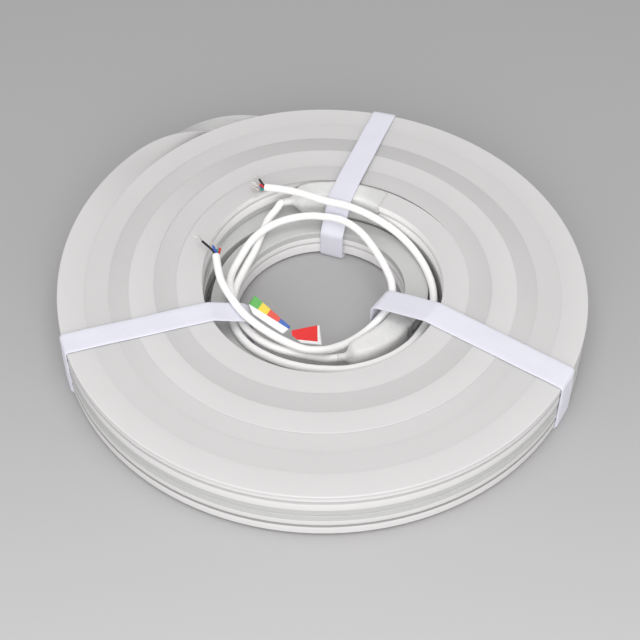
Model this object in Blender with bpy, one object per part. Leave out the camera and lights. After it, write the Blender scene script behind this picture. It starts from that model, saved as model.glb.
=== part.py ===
"""Neon flex strip, coiled for sale: one length of side-bending silicone strip wound as a flat two-layer roll.

The lower layer runs outwards counter-clockwise, the strip then climbs on the outside with a half twist, and the upper
layer runs inwards, so both ends lie in the hole. Each end has a moulded cap with a four-core lead, and three
hook-and-loop straps hold the roll. Metres, +Z up, the straps on the ground at z = 0 and the middle of the box
round strip, caps and straps on Z. Radii and angles are measured from the roll's own axis.
"""

import math

import bmesh
import bpy
from mathutils import Matrix, Vector

# The strip's section. Its base is the white foot, and the diffuser is the opposite face.
STRIP_WIDTH = 0.0148
STRIP_HEIGHT = 0.0180
FOOT_HEIGHT = 0.0050
GROOVE_HEIGHT = 0.0026
GROOVE_DEPTH = 0.0010

# The roll, and where its axis stands
ROLL_AXIS = (0.0008, -0.0074, 0.0)
COIL_RADIUS = 0.1680
TURN_GAP = 0.0004
LAYER_GAP = 0.0003
LOWER_TURNS = 7
UPPER_TURNS = 6
STATION_STEP = 10
CLIMB_STATION_STEP = 5
FIRST_STATION = -10

# Angles in degrees, counter-clockwise from +X, of the roll's own landmarks
LOWER_END = -23
UPPER_END = 66
UPPER_CROSSING = (90, 190)
LAST_LOWER_CROSSING = (105, 200)
FIRST_LOWER_CROSSING = (250, 342)
CROSSING_DELAY = 23
CLIMB_OUT = (77, 105)
CLIMB_BACK = (121, 190)
CLIMB_RISE = (93, 150)
CLIMB_TWIST = (95, 162)
CLIMB_LEAN = 0.00055
LOOSE_END_SPRING = 0.0173
LOOSE_END_REACH = 38
LOOSE_TURN_SAG = 0.0045
LOOSE_TURN_SPAN = (70, 270)

# The end caps: sleeves that narrow to a nose, where the lead comes out
CAP_WALL = 0.0010
CAP_CLEARANCE = 0.0003
CAP_SOCKET_ANGLE = 6
UPPER_CAP_ANGLE = 40
LOWER_CAP_ANGLE = 50
UPPER_CAP_DRIFT = 0.0005
LOWER_CAP_DRIFT = -0.0070
CAP_CORNER = 0.0030
END_LIFT_ANGLE = 32

# The caps' narrowing: the share of the length past the strip's end, and the section's scale there
CAP_TAPER = (
    (0.0, 1.0), (0.25, 1.0), (0.5, 1.0), (0.68, 0.98), (0.78, 0.86), (0.86, 0.66), (0.93, 0.50), (1.0, 0.42),
)

# The leads
SHEATH_DIAMETER = 0.0050
CORE_DIAMETER = 0.0012
CONDUCTOR_DIAMETER = 0.0006
CORE_CIRCLE = 0.0011
FACE_GAP = 0.0003
CORE_GAP = 0.0006
LEAD_SPACING = 0.0120
CORE_SPACING = 0.0014
CONDUCTOR_SPACING = 0.0018
ROUTE_STEPS = 12

# The straps
STRAP_WIDTH = 0.0160
STRAP_THICKNESS = 0.0012
STRAP_GAP = 0.0003
STRAP_BEND = 0.0010
STRAP_SHOULDER = 0.0024

# The labels
LABEL_THICKNESS = 0.0004

PITCH = STRIP_WIDTH + TURN_GAP
LOWER_Z = STRAP_THICKNESS + STRAP_GAP + STRIP_HEIGHT / 2
UPPER_Z = LOWER_Z + STRIP_HEIGHT + LAYER_GAP
CLIMB_PASS = LOWER_TURNS - 1
CLIMB_END = 360 * CLIMB_PASS + CLIMB_BACK[1]
STRIP_END = 360 * (LOWER_TURNS + UPPER_TURNS - 1) + UPPER_END
CAP_GROWTH = 2 * (CAP_WALL + CAP_CLEARANCE)
CAP_WIDTH = STRIP_WIDTH + CAP_GROWTH
CAP_HEIGHT = STRIP_HEIGHT + CAP_GROWTH
END_LIFT = CAP_GROWTH / 2
CLIMB_BULGE = (math.hypot(STRIP_WIDTH, STRIP_HEIGHT) + STRIP_WIDTH) / 2 - CLIMB_LEAN
LOWER_TOP = LOWER_Z + STRIP_HEIGHT / 2
UPPER_TOP = UPPER_Z + STRIP_HEIGHT / 2
RIM_RADIUS = COIL_RADIUS - UPPER_TURNS * PITCH
UPPER_CAP_RADIUS = RIM_RADIUS + PITCH - STRIP_WIDTH / 2 - END_LIFT - TURN_GAP

# Each lead's route: radius and height in millimetres, with the angle in degrees between them
UPPER_LEAD_ROUTE = [
    (80.4, 113.0, 28.4), (76.0, 119.0, 26.0), (68.5, 127.0, 23.6), (60.5, 138.5, 22.5),
    (57.0, 151.0, 22.4), (56.6, 170.0, 22.4), (58.4, 186.0, 22.4), (61.0, 198.6, 22.4), (62.6, 211.0, 22.4),
    (62.8, 223.3, 22.4), (62.0, 235.0, 22.4), (61.6, 247.0, 22.4), (61.6, 260.7, 22.4), (62.4, 274.0, 22.4),
    (63.8, 284.0, 22.6), (64.8, 293.0, 22.8), (66.0, 303.0, 22.8), (67.2, 313.0, 22.6), (68.4, 324.6, 22.2),
    (69.4, 337.6, 22.0), (70.6, 347.7, 22.0), (71.4, 357.0, 22.0), (71.6, 368.0, 22.2), (71.8, 380.0, 22.6),
    (72.2, 391.0, 23.6), (72.4, 401.0, 25.6), (71.6, 411.0, 29.0), (69.4, 421.0, 34.0), (67.0, 430.0, 38.8),
    (65.4, 438.0, 42.2), (65.8, 447.0, 43.6), (70.0, 455.0, 43.6), (76.4, 461.5, 42.6), (83.6, 468.0, 41.4),
    (91.2, 475.4, 41.0),
]
LOWER_LEAD_ROUTE = [
    (45.2, 272.0, 12.8), (47.0, 262.0, 16.4), (50.2, 250.0, 20.4), (53.2, 238.0, 22.4),
    (55.0, 225.0, 22.8), (56.2, 213.5, 23.4), (57.0, 203.0, 25.2), (57.4, 194.0, 27.6), (58.4, 185.0, 28.2),
    (60.4, 175.0, 26.6), (62.0, 163.5, 24.6), (62.8, 152.0, 24.8), (64.8, 138.0, 27.6), (66.4, 127.0, 28.8),
    (67.4, 115.0, 29.4), (66.0, 102.0, 30.8), (62.4, 90.0, 32.8), (59.4, 77.0, 33.4), (55.0, 63.0, 31.4),
    (49.4, 46.0, 28.2), (46.2, 27.0, 25.8), (45.2, 9.0, 25.0), (44.2, -9.0, 23.6), (41.2, -20.0, 20.8),
    (38.2, -32.0, 17.0), (35.6, -45.0, 13.4), (35.2, -60.0, 12.4), (38.6, -75.0, 15.4), (44.2, -89.0, 20.0),
    (48.8, -104.0, 24.6), (50.4, -119.0, 28.6), (52.4, -133.0, 31.6), (55.2, -145.0, 34.2), (57.4, -154.5, 36.0),
    (60.4, -166.0, 37.6), (63.6, -174.4, 39.0), (66.4, -182.4, 40.4), (71.0, -194.0, 41.8),
]

# Each core: its colour, its turn about the lead's axis, and the points of its route from the sheath's cut end:
# forwards, leftwards and upwards, in millimetres
UPPER_CORES = {
    "black": ((0.02, 0.02, 0.025), 135, [(3.0, -2.2, 1.6), (6.5, -4.4, 3.0)], (10.0, -6.0, 3.6)),
    "red": ((0.55, 0.02, 0.02), 45, [(2.2, 1.4, 1.3), (4.2, 1.9, 1.4)], (8.4, 3.6, 1.7)),
    "green": ((0.0, 0.22, 0.16), 315, [(2.0, 1.5, -1.0), (3.8, 2.4, -0.9)], (7.4, 5.4, -0.2)),
    "blue": ((0.02, 0.08, 0.45), 225, [(2.2, -1.2, -1.0), (4.4, -1.6, -0.6)], (9.0, -1.4, 0.2)),
}
LOWER_CORES = {
    "black": ((0.02, 0.02, 0.025), 45, [(4.5, 1.9, 1.3), (12.0, 4.2, 1.6)], (17.5, 5.6, 1.8)),
    "red": ((0.55, 0.02, 0.02), 225, [(2.0, -1.9, -0.6), (4.0, -3.0, -0.1)], (6.2, -3.8, 0.3)),
    "green": ((0.0, 0.22, 0.16), 315, [(2.6, 0.8, -1.1), (5.6, 1.0, -0.9)], (8.4, 1.0, -0.4)),
    "blue": ((0.02, 0.08, 0.45), 135, [(3.2, -0.9, 1.7), (7.4, -0.5, 2.7)], (10.6, -0.3, 3.1)),
}

# Each strap: the angle of its plane, how far the plane passes from the roll's axis, how far its inner leg stands in
# from the upper layer's rim, and the leg's height above the lower layer
STRAPS = {
    "strap_back": (70.1, 0.0137, 0.0174, 0.0010),
    "strap_left": (197.0, 0.0068, 0.0243, 0.0102),
    "strap_right": (325.5, 0.0156, 0.0386, 0.0080),
}

# Each label: its corner on the lead, the direction of its long edge and of its width, and its outline, in
# millimetres
LABELS = {
    "label_long": (
        (-42.7, -30.0, 34.6), (19.8, -11.5, -5.6), (-1.3, 11.6, 5.6),
        [(-1.0, 0.6), (20.5, 0.4), (22.5, 7.0), (-8.0, 12.0), (-8.0, 5.0)],
    ),
    "label_square": (
        (-13.5, -43.8, 26.0), (13.5, 2.5, -5.0), (-2.5, 12.1, 6.2),
        [(0.0, 0.2), (13.8, 0.2), (12.4, 13.2), (-6.6, 7.6), (-6.2, 4.4)],
    ),
}

WHITE_SILICONE = ("white_silicone", (0.80, 0.80, 0.78), 0.45, 0.0)
CAP_SILICONE = ("cap_silicone", (0.66, 0.66, 0.64), 0.35, 0.0)
LEAD_SHEATH = ("lead_sheath", (0.82, 0.82, 0.80), 0.40, 0.0)
COPPER = ("tinned_copper", (0.62, 0.58, 0.54), 0.30, 1.0)
STRAP_NYLON = ("strap_nylon", (0.78, 0.78, 0.86), 0.90, 0.0)
LABEL_PAPER = ("label_paper", (0.72, 0.20, 0.12), 0.60, 0.0)


def ease(angle, span):
    """0 before the span, 1 after it, and a smooth step between."""
    t = min(max((angle - span[0]) / (span[1] - span[0]), 0.0), 1.0)
    return t * t * (3 - 2 * t)


def bump(angle, span):
    """0 outside the span, and a smooth hump of 1 at its middle."""
    t = (angle - span[0]) / (span[1] - span[0])
    return math.sin(math.pi * t) ** 2 if 0 < t < 1 else 0.0


def lower_lane(angle):
    """How many pitches the lower layer's strip lies in from the outer wall."""
    lane = LOWER_TURNS - 1 - ease(angle, FIRST_LOWER_CROSSING)
    for turn in range(1, CLIMB_PASS):
        late = CROSSING_DELAY * (CLIMB_PASS - 1 - turn)
        start = 360 * turn + late
        lane -= ease(angle, (start + LAST_LOWER_CROSSING[0], start + LAST_LOWER_CROSSING[1]))
    return lane


def upper_lane(angle):
    """How many pitches the upper layer's strip lies in from the outer wall."""
    lane = 0.0
    for turn in range(1, UPPER_TURNS):
        start = 360 * (CLIMB_PASS + turn)
        lane += ease(angle, (start + UPPER_CROSSING[0], start + UPPER_CROSSING[1]))
    return lane


def strip_place(angle):
    """The strip's centre radius, height and roll at an angle counted through all the turns."""
    climb = angle - 360 * CLIMB_PASS
    lane = lower_lane(angle) if angle < CLIMB_END else upper_lane(angle)
    radius = COIL_RADIUS - STRIP_WIDTH / 2 - PITCH * lane
    radius += CLIMB_BULGE * (ease(climb, CLIMB_OUT) - ease(climb, CLIMB_BACK))
    radius -= LOOSE_END_SPRING * math.exp((LOWER_END - angle) / LOOSE_END_REACH)
    radius -= LOOSE_TURN_SAG * bump(angle, LOOSE_TURN_SPAN)
    end = ease(angle, (STRIP_END - END_LIFT_ANGLE, STRIP_END))
    radius -= (END_LIFT + TURN_GAP) * end
    start = 1 - ease(angle, (LOWER_END, LOWER_END + END_LIFT_ANGLE))
    height = LOWER_Z + (UPPER_Z - LOWER_Z) * ease(climb, CLIMB_RISE) + END_LIFT * (start + end)
    return radius, height, math.pi * ease(climb, CLIMB_TWIST)


def polar(radius, angle, height):
    turn = math.radians(angle)
    return Vector((radius * math.cos(turn), radius * math.sin(turn), height))


def strip_stations():
    """The angles of the strip's stations, with one at each sleeve's mouth, so that both bend together."""
    angles = {LOWER_END, LOWER_END + CAP_SOCKET_ANGLE, STRIP_END - CAP_SOCKET_ANGLE, STRIP_END}
    angles.update(range(FIRST_STATION, STRIP_END - CAP_SOCKET_ANGLE, STATION_STEP))
    climb = 360 * CLIMB_PASS
    angles.update(range(climb + CLIMB_OUT[0], climb + CLIMB_BACK[1], CLIMB_STATION_STEP))
    return sorted(angles)


def material(finish):
    """A Principled material made once for each finish."""
    name, colour, roughness, metallic = finish
    found = bpy.data.materials.get(name)
    if found:
        return found
    made = bpy.data.materials.new(name)
    made.use_nodes = True
    shader = made.node_tree.nodes["Principled BSDF"]
    shader.inputs["Base Color"].default_value = (*colour, 1.0)
    shader.inputs["Roughness"].default_value = roughness
    shader.inputs["Metallic"].default_value = metallic
    made.diffuse_color = (*colour, 1.0)
    return made


def collection(name):
    made = bpy.data.collections.new(name)
    bpy.context.scene.collection.children.link(made)
    return made


def poly_curve(name, points, place, closed=False):
    """A curve object of one POLY spline."""
    curve = bpy.data.curves.new(name, "CURVE")
    curve.dimensions = "3D"
    curve.twist_mode = "Z_UP"
    curve.resolution_u = 1
    curve.render_resolution_u = 0
    spline = curve.splines.new("POLY")
    spline.points.add(len(points) - 1)
    for point, at in zip(spline.points, points):
        point.co = (*at, 1.0)
    spline.use_cyclic_u = closed
    made = bpy.data.objects.new(name, curve)
    place.objects.link(made)
    return made


def profile_curve(name, outline, guides):
    """A closed flat outline that another curve is bevelled with."""
    made = poly_curve(name, [(x, y, 0.0) for x, y in outline], guides, closed=True)
    made.data.dimensions = "2D"
    made.hide_render = True
    made.display_type = "WIRE"
    return made


def strip_outline():
    """The strip's section about its centre, base down: foot, groove, body and diffuser, on both sides."""
    half = STRIP_WIDTH / 2
    base = -STRIP_HEIGHT / 2
    side = [
        (half, base),
        (half, base + FOOT_HEIGHT),
        (half - GROOVE_DEPTH, base + FOOT_HEIGHT),
        (half - GROOVE_DEPTH, base + FOOT_HEIGHT + GROOVE_HEIGHT),
        (half, base + FOOT_HEIGHT + GROOVE_HEIGHT),
        (half, -base),
    ]
    return side + [(-x, y) for x, y in reversed(side)]


def rounded_outline(width, height, corner, steps=3):
    """A rectangle with round corners."""
    outline = []
    for quarter in range(4):
        middle_x = (width / 2 - corner) * (1 if quarter in (0, 3) else -1)
        middle_y = (height / 2 - corner) * (1 if quarter in (0, 1) else -1)
        for step in range(steps + 1):
            turn = math.pi / 2 * (quarter + step / steps)
            outline.append((middle_x + corner * math.cos(turn), middle_y + corner * math.sin(turn)))
    return outline


def swept(name, points, profile, place, tilts=None, scales=None):
    """A profile swept along points, with the caps filled."""
    made = poly_curve(name, points, place)
    made.data.bevel_mode = "OBJECT"
    made.data.bevel_object = profile
    made.data.use_fill_caps = True
    for index, point in enumerate(made.data.splines[0].points):
        point.tilt = tilts[index] if tilts else 0.0
        point.radius = scales[index] if scales else 1.0
    return made


def as_mesh(curve_object):
    """The curve's evaluated surface as a mesh object in its place, with the caps welded on."""
    evaluated = curve_object.evaluated_get(bpy.context.evaluated_depsgraph_get())
    mesh = bpy.data.meshes.new_from_object(evaluated)
    shape = bmesh.new()
    shape.from_mesh(mesh)
    bmesh.ops.remove_doubles(shape, verts=shape.verts, dist=1e-6)
    bmesh.ops.recalc_face_normals(shape, faces=shape.faces)
    shape.to_mesh(mesh)
    shape.free()
    name = curve_object.name
    place = curve_object.users_collection[0]
    bpy.data.objects.remove(curve_object)
    made = bpy.data.objects.new(name, mesh)
    place.objects.link(made)
    return made


def make_strip(part, guides):
    profile = profile_curve("strip_profile", strip_outline(), guides)
    points = []
    tilts = []
    for angle in strip_stations():
        radius, height, roll = strip_place(angle)
        points.append(polar(radius, angle, height))
        tilts.append(roll)
    strip = as_mesh(swept("neon_strip", points, profile, part, tilts))
    strip.data.materials.append(material(WHITE_SILICONE))


def cap_path(end_angle, direction, length_angle, radius_drift):
    """The cap's stations from its mouth to its nose, the angle past the strip's end, and each one's scale."""
    radius, height, _ = strip_place(end_angle)
    mouth_radius, mouth_height, _ = strip_place(end_angle - direction * CAP_SOCKET_ANGLE)
    points = [polar(mouth_radius, end_angle - direction * CAP_SOCKET_ANGLE, mouth_height)]
    scales = [1.0]
    for share, scale in CAP_TAPER:
        angle = end_angle + direction * share * length_angle
        points.append(polar(radius + radius_drift * share, angle, height))
        scales.append(scale)
    return points, scales


def make_cap(name, end_angle, direction, length_angle, radius_drift, part, guides):
    """A sleeve over the strip's end: the swept outside, less a socket of the strip's section and its clearance."""
    points, scales = cap_path(end_angle, direction, length_angle, radius_drift)
    outside = bpy.data.objects["cap_profile"]
    inside = bpy.data.objects["socket_profile"]
    cap = as_mesh(swept(name, points, outside, part, scales=scales))
    before = points[0] + (points[0] - points[1]).normalized() * CAP_WALL
    beyond = points[1] + (points[1] - points[0]).normalized() * CAP_CLEARANCE
    socket_points = [before, points[0], beyond]
    socket = as_mesh(swept(name + "_socket", socket_points, inside, guides))
    socket.hide_render = True
    socket.display_type = "WIRE"
    cut = cap.modifiers.new("socket", "BOOLEAN")
    cut.object = socket
    cut.operation = "DIFFERENCE"
    cap.data.materials.append(material(CAP_SILICONE))
    return points[-1], (points[-1] - points[-2]).normalized()


def smooth_points(route, spacing, before=None):
    """Points a set distance apart along a Catmull-Rom curve through the route's own points."""
    padded = [before or 2 * route[0] - route[1], *route, 2 * route[-1] - route[-2]]
    fine = []
    for a, b, c, d in zip(padded, padded[1:], padded[2:], padded[3:]):
        for step in range(ROUTE_STEPS):
            t = step / ROUTE_STEPS
            fine.append(
                b + 0.5 * ((c - a) * t + (2 * a - 5 * b + 4 * c - d) * t * t + (3 * b - a - 3 * c + d) * t ** 3)
            )
    fine.append(route[-1])
    lengths = [0.0]
    for a, b in zip(fine, fine[1:]):
        lengths.append(lengths[-1] + (b - a).length)
    count = max(2, round(lengths[-1] / spacing))
    points = []
    reached = 0
    for index in range(count + 1):
        wanted = lengths[-1] * index / count
        while reached < len(fine) - 2 and lengths[reached + 1] < wanted:
            reached += 1
        span = lengths[reached + 1] - lengths[reached]
        points.append(fine[reached].lerp(fine[reached + 1], (wanted - lengths[reached]) / span))
    return points


def tube(name, points, diameter, finish, part):
    made = poly_curve(name, points, part)
    made.data.twist_mode = "MINIMUM"
    made.data.bevel_depth = diameter / 2
    made.data.bevel_resolution = 2
    made.data.use_fill_caps = True
    made.data.materials.append(material(finish))
    return made


def make_lead(name, route, cores, nose, part):
    """A sheath from the cap's nose along its route, with the cores and their bare conductors at the cut end."""
    start, forwards = nose
    exit_point = start + forwards * FACE_GAP
    free = [exit_point + forwards * SHEATH_DIAMETER]
    free += [polar(radius / 1000, angle, height / 1000) for radius, angle, height in route]
    points = [exit_point, *smooth_points(free, LEAD_SPACING, before=exit_point)]
    tube(name + "_sheath", points, SHEATH_DIAMETER, LEAD_SHEATH, part)
    cut_end = points[-1]
    ahead = (points[-1] - points[-2]).normalized()
    left = Vector((0, 0, 1)).cross(ahead).normalized()
    up = ahead.cross(left)
    for colour, (shade, turn, bends, tip) in cores.items():
        seat = left * math.cos(math.radians(turn)) + up * math.sin(math.radians(turn))
        start = cut_end + ahead * CORE_GAP + seat * CORE_CIRCLE
        core_route = [start, start + ahead * CORE_DIAMETER / 2]
        core_route += [cut_end + (ahead * x + left * y + up * z) / 1000 for x, y, z in bends]
        core_points = smooth_points(core_route, CORE_SPACING)
        tube(f"{name}_core_{colour}", core_points, CORE_DIAMETER, ("core_" + colour, shade, 0.45, 0.0), part)
        onwards = (core_points[-1] - core_points[-2]).normalized()
        bare_start = core_points[-1] + onwards * FACE_GAP
        x, y, z = tip
        bare_end = cut_end + (ahead * x + left * y + up * z) / 1000
        bare_route = [bare_start, bare_start + onwards * CONDUCTOR_DIAMETER, bare_end]
        bare_points = smooth_points(bare_route, CONDUCTOR_SPACING)
        tube(f"{name}_conductor_{colour}", bare_points, CONDUCTOR_DIAMETER, COPPER, part)


def rounded_path(corners, bend, steps=3):
    """A closed path through the corners, each turned with an arc of the bend's radius."""
    path = []
    for before, corner, after in zip(corners[-1:] + corners[:-1], corners, corners[1:] + corners[:1]):
        to_before = (Vector(before) - Vector(corner)).normalized()
        to_after = (Vector(after) - Vector(corner)).normalized()
        half = to_before.angle(to_after) / 2
        middle = Vector(corner) + (to_before + to_after).normalized() * bend / math.sin(half)
        first = Vector(corner) + to_before * bend / math.tan(half) - middle
        last = Vector(corner) + to_after * bend / math.tan(half) - middle
        for step in range(steps + 1):
            between = first.lerp(last, step / steps).normalized() * bend
            path.append(tuple(middle + between))
    return path


def offset_corners(corners, distance):
    """The corners of the same counter-clockwise outline moved outwards by a distance."""
    moved = []
    for before, corner, after in zip(corners[-1:] + corners[:-1], corners, corners[1:] + corners[:1]):
        into = (Vector(corner) - Vector(before)).normalized()
        out = (Vector(after) - Vector(corner)).normalized()
        normal_in = Vector((into.y, -into.x))
        normal_out = Vector((out.y, -out.x))
        mitre = (normal_in + normal_out).normalized()
        moved.append(tuple(Vector(corner) + mitre * distance / mitre.dot(normal_in)))
    return moved


def across_strap(radius, offset):
    """Where a circle about the roll's axis crosses the strap's far edge, measured along the strap's plane."""
    return math.sqrt(radius ** 2 - (abs(offset) + STRAP_WIDTH / 2) ** 2)


def strap_space(name, offset, run, rise):
    """The corners of the space inside a strap, from the foot of the outer wall up, over and down into the hole."""
    outer = COIL_RADIUS + STRAP_GAP
    rim = across_strap(RIM_RADIUS, offset) - STRAP_GAP
    leg = rim - run
    shoulder = LOWER_TOP + rise
    corners = [(outer, STRAP_THICKNESS), (outer, UPPER_TOP + STRAP_GAP)]
    if name == "strap_back":
        cap_top = UPPER_Z + END_LIFT + CAP_HEIGHT / 2 + STRAP_GAP
        corners.append((UPPER_CAP_RADIUS + CAP_WIDTH / 2, cap_top))
        corners.append((across_strap(UPPER_CAP_RADIUS - CAP_WIDTH / 2, offset) - STRAP_GAP, cap_top))
        corners.append((leg, shoulder))
    else:
        corners.append((rim, UPPER_TOP + STRAP_GAP))
        corners += [(leg + STRAP_SHOULDER, shoulder), (leg, shoulder - STRAP_SHOULDER)]
    return corners + [(leg, STRAP_THICKNESS)]


def flat_band(name, outlines, thickness, part):
    """A flat filled curve of closed outlines, extruded both ways to its thickness."""
    curve = bpy.data.curves.new(name, "CURVE")
    curve.dimensions = "2D"
    curve.fill_mode = "BOTH"
    curve.extrude = thickness / 2
    curve.render_resolution_u = 0
    for outline in outlines:
        spline = curve.splines.new("POLY")
        spline.points.add(len(outline) - 1)
        for point, (x, y) in zip(spline.points, outline):
            point.co = (x, y, 0.0, 1.0)
        spline.use_cyclic_u = True
    made = bpy.data.objects.new(name, curve)
    part.objects.link(made)
    return made


def make_strap(name, plane_angle, offset, run, rise, part):
    """A closed band round the roll's section: a flat ring outline extruded to the strap's width."""
    inner = strap_space(name, offset, run, rise)
    outer = offset_corners(inner, STRAP_THICKNESS)
    rings = (rounded_path(outer, STRAP_BEND + STRAP_THICKNESS), rounded_path(inner, STRAP_BEND / 2))
    strap = flat_band(name, rings, STRAP_WIDTH, part)
    upright = Matrix.Rotation(math.pi / 2, 4, "X")
    along = Matrix.Rotation(math.radians(plane_angle), 4, "Z")
    strap.matrix_world = along @ Matrix.Translation((0, offset, 0)) @ upright
    strap.data.materials.append(material(STRAP_NYLON))


def make_label(name, origin, along, across, outline, part):
    """A flat paper flag that stands out of its lead."""
    label = flat_band(name, [[(x / 1000, y / 1000) for x, y in outline]], LABEL_THICKNESS, part)
    x_axis = Vector(along).normalized()
    z_axis = x_axis.cross(Vector(across)).normalized()
    turn = Matrix((x_axis, z_axis.cross(x_axis), z_axis)).transposed().to_4x4()
    label.matrix_world = Matrix.Translation(Vector(origin) / 1000) @ turn
    label.data.materials.append(material(LABEL_PAPER))


def main():
    for leftover in list(bpy.data.objects):
        bpy.data.objects.remove(leftover)
    part = collection("neon_flex_strip")
    guides = collection("guides")
    make_strip(part, guides)
    profile_curve("cap_profile", rounded_outline(CAP_WIDTH, CAP_HEIGHT, CAP_CORNER), guides)
    half_width = STRIP_WIDTH / 2 + CAP_CLEARANCE
    half_height = STRIP_HEIGHT / 2 + CAP_CLEARANCE
    square = [(half_width, -half_height), (half_width, half_height)]
    square += [(-half_width, half_height), (-half_width, -half_height)]
    profile_curve("socket_profile", square, guides)
    upper_nose = make_cap("end_cap_upper", STRIP_END, 1, UPPER_CAP_ANGLE, UPPER_CAP_DRIFT, part, guides)
    lower_nose = make_cap("end_cap_lower", LOWER_END, -1, LOWER_CAP_ANGLE, LOWER_CAP_DRIFT, part, guides)
    make_lead("lead_upper", UPPER_LEAD_ROUTE, UPPER_CORES, upper_nose, part)
    make_lead("lead_lower", LOWER_LEAD_ROUTE, LOWER_CORES, lower_nose, part)
    for name, strap in STRAPS.items():
        make_strap(name, *strap, part)
    for name, label in LABELS.items():
        make_label(name, *label, part)
    for made in [*part.objects, *guides.objects]:
        made.location += Vector(ROLL_AXIS)


main()
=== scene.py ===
"""Neon flex strip roll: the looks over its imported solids.

Each operator builds one piece of the roll, or one group of like pieces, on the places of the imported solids.
Lengths are in metres and angles in degrees. Radii and angles are measured from the roll's own axis.
"""

import math

import bpy
import numpy as np
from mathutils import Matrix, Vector, noise


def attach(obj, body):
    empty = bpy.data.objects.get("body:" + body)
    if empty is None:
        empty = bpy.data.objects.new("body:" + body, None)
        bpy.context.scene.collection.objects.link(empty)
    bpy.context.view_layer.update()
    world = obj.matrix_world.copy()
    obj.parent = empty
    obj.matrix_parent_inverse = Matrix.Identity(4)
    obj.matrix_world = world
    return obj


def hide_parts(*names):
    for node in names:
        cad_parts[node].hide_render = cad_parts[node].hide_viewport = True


bl_info = {
    "name": "Neon flex strip roll",
    "version": (1, 0, 0),
    "blender": (4, 5, 0),
    "location": "View3D > Sidebar > Neon flex",
    "description": "Builds a coiled neon flex strip with its caps, leads, straps and labels",
    "category": "Add Mesh",
}

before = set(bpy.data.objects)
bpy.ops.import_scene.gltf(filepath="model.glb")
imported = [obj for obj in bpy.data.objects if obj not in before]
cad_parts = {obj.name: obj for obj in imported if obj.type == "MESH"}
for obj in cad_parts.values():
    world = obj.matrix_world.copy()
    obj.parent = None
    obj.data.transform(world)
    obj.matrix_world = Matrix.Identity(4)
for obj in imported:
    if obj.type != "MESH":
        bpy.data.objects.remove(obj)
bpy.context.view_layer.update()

# The roll's own axis in the frame
ROLL_AXIS = Vector((0.0008, -0.0074, 0.0))

# The coil's landmarks, the same as the solids'
LOWER_TURNS = 7
UPPER_TURNS = 6
LOWER_END = -23
UPPER_END = 66
UPPER_CROSSING = (90, 190)
LAST_LOWER_CROSSING = (105, 200)
FIRST_LOWER_CROSSING = (250, 342)
CROSSING_DELAY = 23
LOOSE_END_SPRING = 0.0173
LOOSE_END_REACH = 38
LOOSE_TURN_SAG = 0.0045
LOOSE_TURN_SPAN = (70, 270)
END_LIFT_ANGLE = 32
CAP_WALL = 0.0010
CAP_CLEARANCE = 0.0003
CAP_SOCKET_ANGLE = 6
FACE_GAP = 0.0003
CORE_GAP = 0.0006
CORE_CIRCLE = 0.0011
END_LIFT = CAP_WALL + CAP_CLEARANCE

# Angles count on through all the turns: where the climb's own turn starts, and where the strip ends
CLIMB_START = 360 * (LOWER_TURNS - 1)
STRIP_END = CLIMB_START + 360 * UPPER_TURNS + UPPER_END

# The climb, counted in its own turn. It keeps to the photo's outline, closer in than the solid's climb.
CLIMB_OUT = (72, 106)
CLIMB_BACK = (107, 195)
CLIMB_RISE = (81, 137)
CLIMB_TWIST = (88, 144)
CLIMB_BULGE = 0.0149
CLIMB_CLOSING = (112, 136)
CLIMB_SMOOTH = (70, 185)

# Where the climbing strip gets a painted shade, and how dark it is
CLIMB_SHADED = (72, 166)
CLIMB_SHADE = 0.21

# Where the upper layer's turns meet, from the outer wall to the hole, and the angles after the climb and
# before the strip's end between which they keep to these edges
TURN_EDGES = (0.1680, 0.1512, 0.1361, 0.1235, 0.1075, 0.0932, 0.0768)
FIT_AFTER_CLIMB = 40
FIT_BEFORE_END = (END_LIFT_ANGLE + 10, 12)

# Each turn's painted shade at its inner and its outer edge, standing in for the turns' tilt and the shade
# their neighbours cast, and how much lighter a painted highlight for its slight lean makes it at the front
TURN_TONES = (
    (0.95, 1.0, 0.0), (0.92, 0.92, -0.02), (0.86, 0.84, 0.08),
    (0.96, 1.0, 0.0), (0.88, 0.84, -0.03), (0.95, 0.98, 0.0),
)

# Each end cap: the strip's end, the way it points, the angle it takes and how far its nose drifts outwards
CAPS = {"cap_upper": (STRIP_END, 1, 40, 0.0005), "cap_lower": (LOWER_END, -1, 50, -0.0070)}

# The upper lead's route: radius, angle and height
UPPER_LEAD_ROUTE = (
    (0.0804, 113.0, 0.0284), (0.0760, 119.0, 0.0260), (0.0685, 127.0, 0.0236), (0.0605, 138.5, 0.0225),
    (0.0570, 151.0, 0.0224), (0.0566, 170.0, 0.0224), (0.0584, 186.0, 0.0224), (0.0610, 198.6, 0.0224),
    (0.0626, 211.0, 0.0224), (0.0628, 223.3, 0.0224), (0.0620, 235.0, 0.0224), (0.0616, 247.0, 0.0224),
    (0.0616, 260.7, 0.0224), (0.0624, 274.0, 0.0224), (0.0638, 284.0, 0.0226), (0.0648, 293.0, 0.0228),
    (0.0660, 303.0, 0.0228), (0.0672, 313.0, 0.0226), (0.0684, 324.6, 0.0222), (0.0694, 337.6, 0.0220),
    (0.0706, 347.7, 0.0220), (0.0714, 357.0, 0.0220), (0.0716, 368.0, 0.0222), (0.0718, 380.0, 0.0226),
    (0.0722, 391.0, 0.0236), (0.0724, 401.0, 0.0256), (0.0716, 411.0, 0.0290), (0.0694, 421.0, 0.0340),
    (0.0670, 430.0, 0.0388), (0.0654, 438.0, 0.0422), (0.0658, 447.0, 0.0436), (0.0700, 455.0, 0.0436),
    (0.0764, 461.5, 0.0426), (0.0836, 468.0, 0.0414), (0.0912, 475.4, 0.0410),
)

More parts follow.
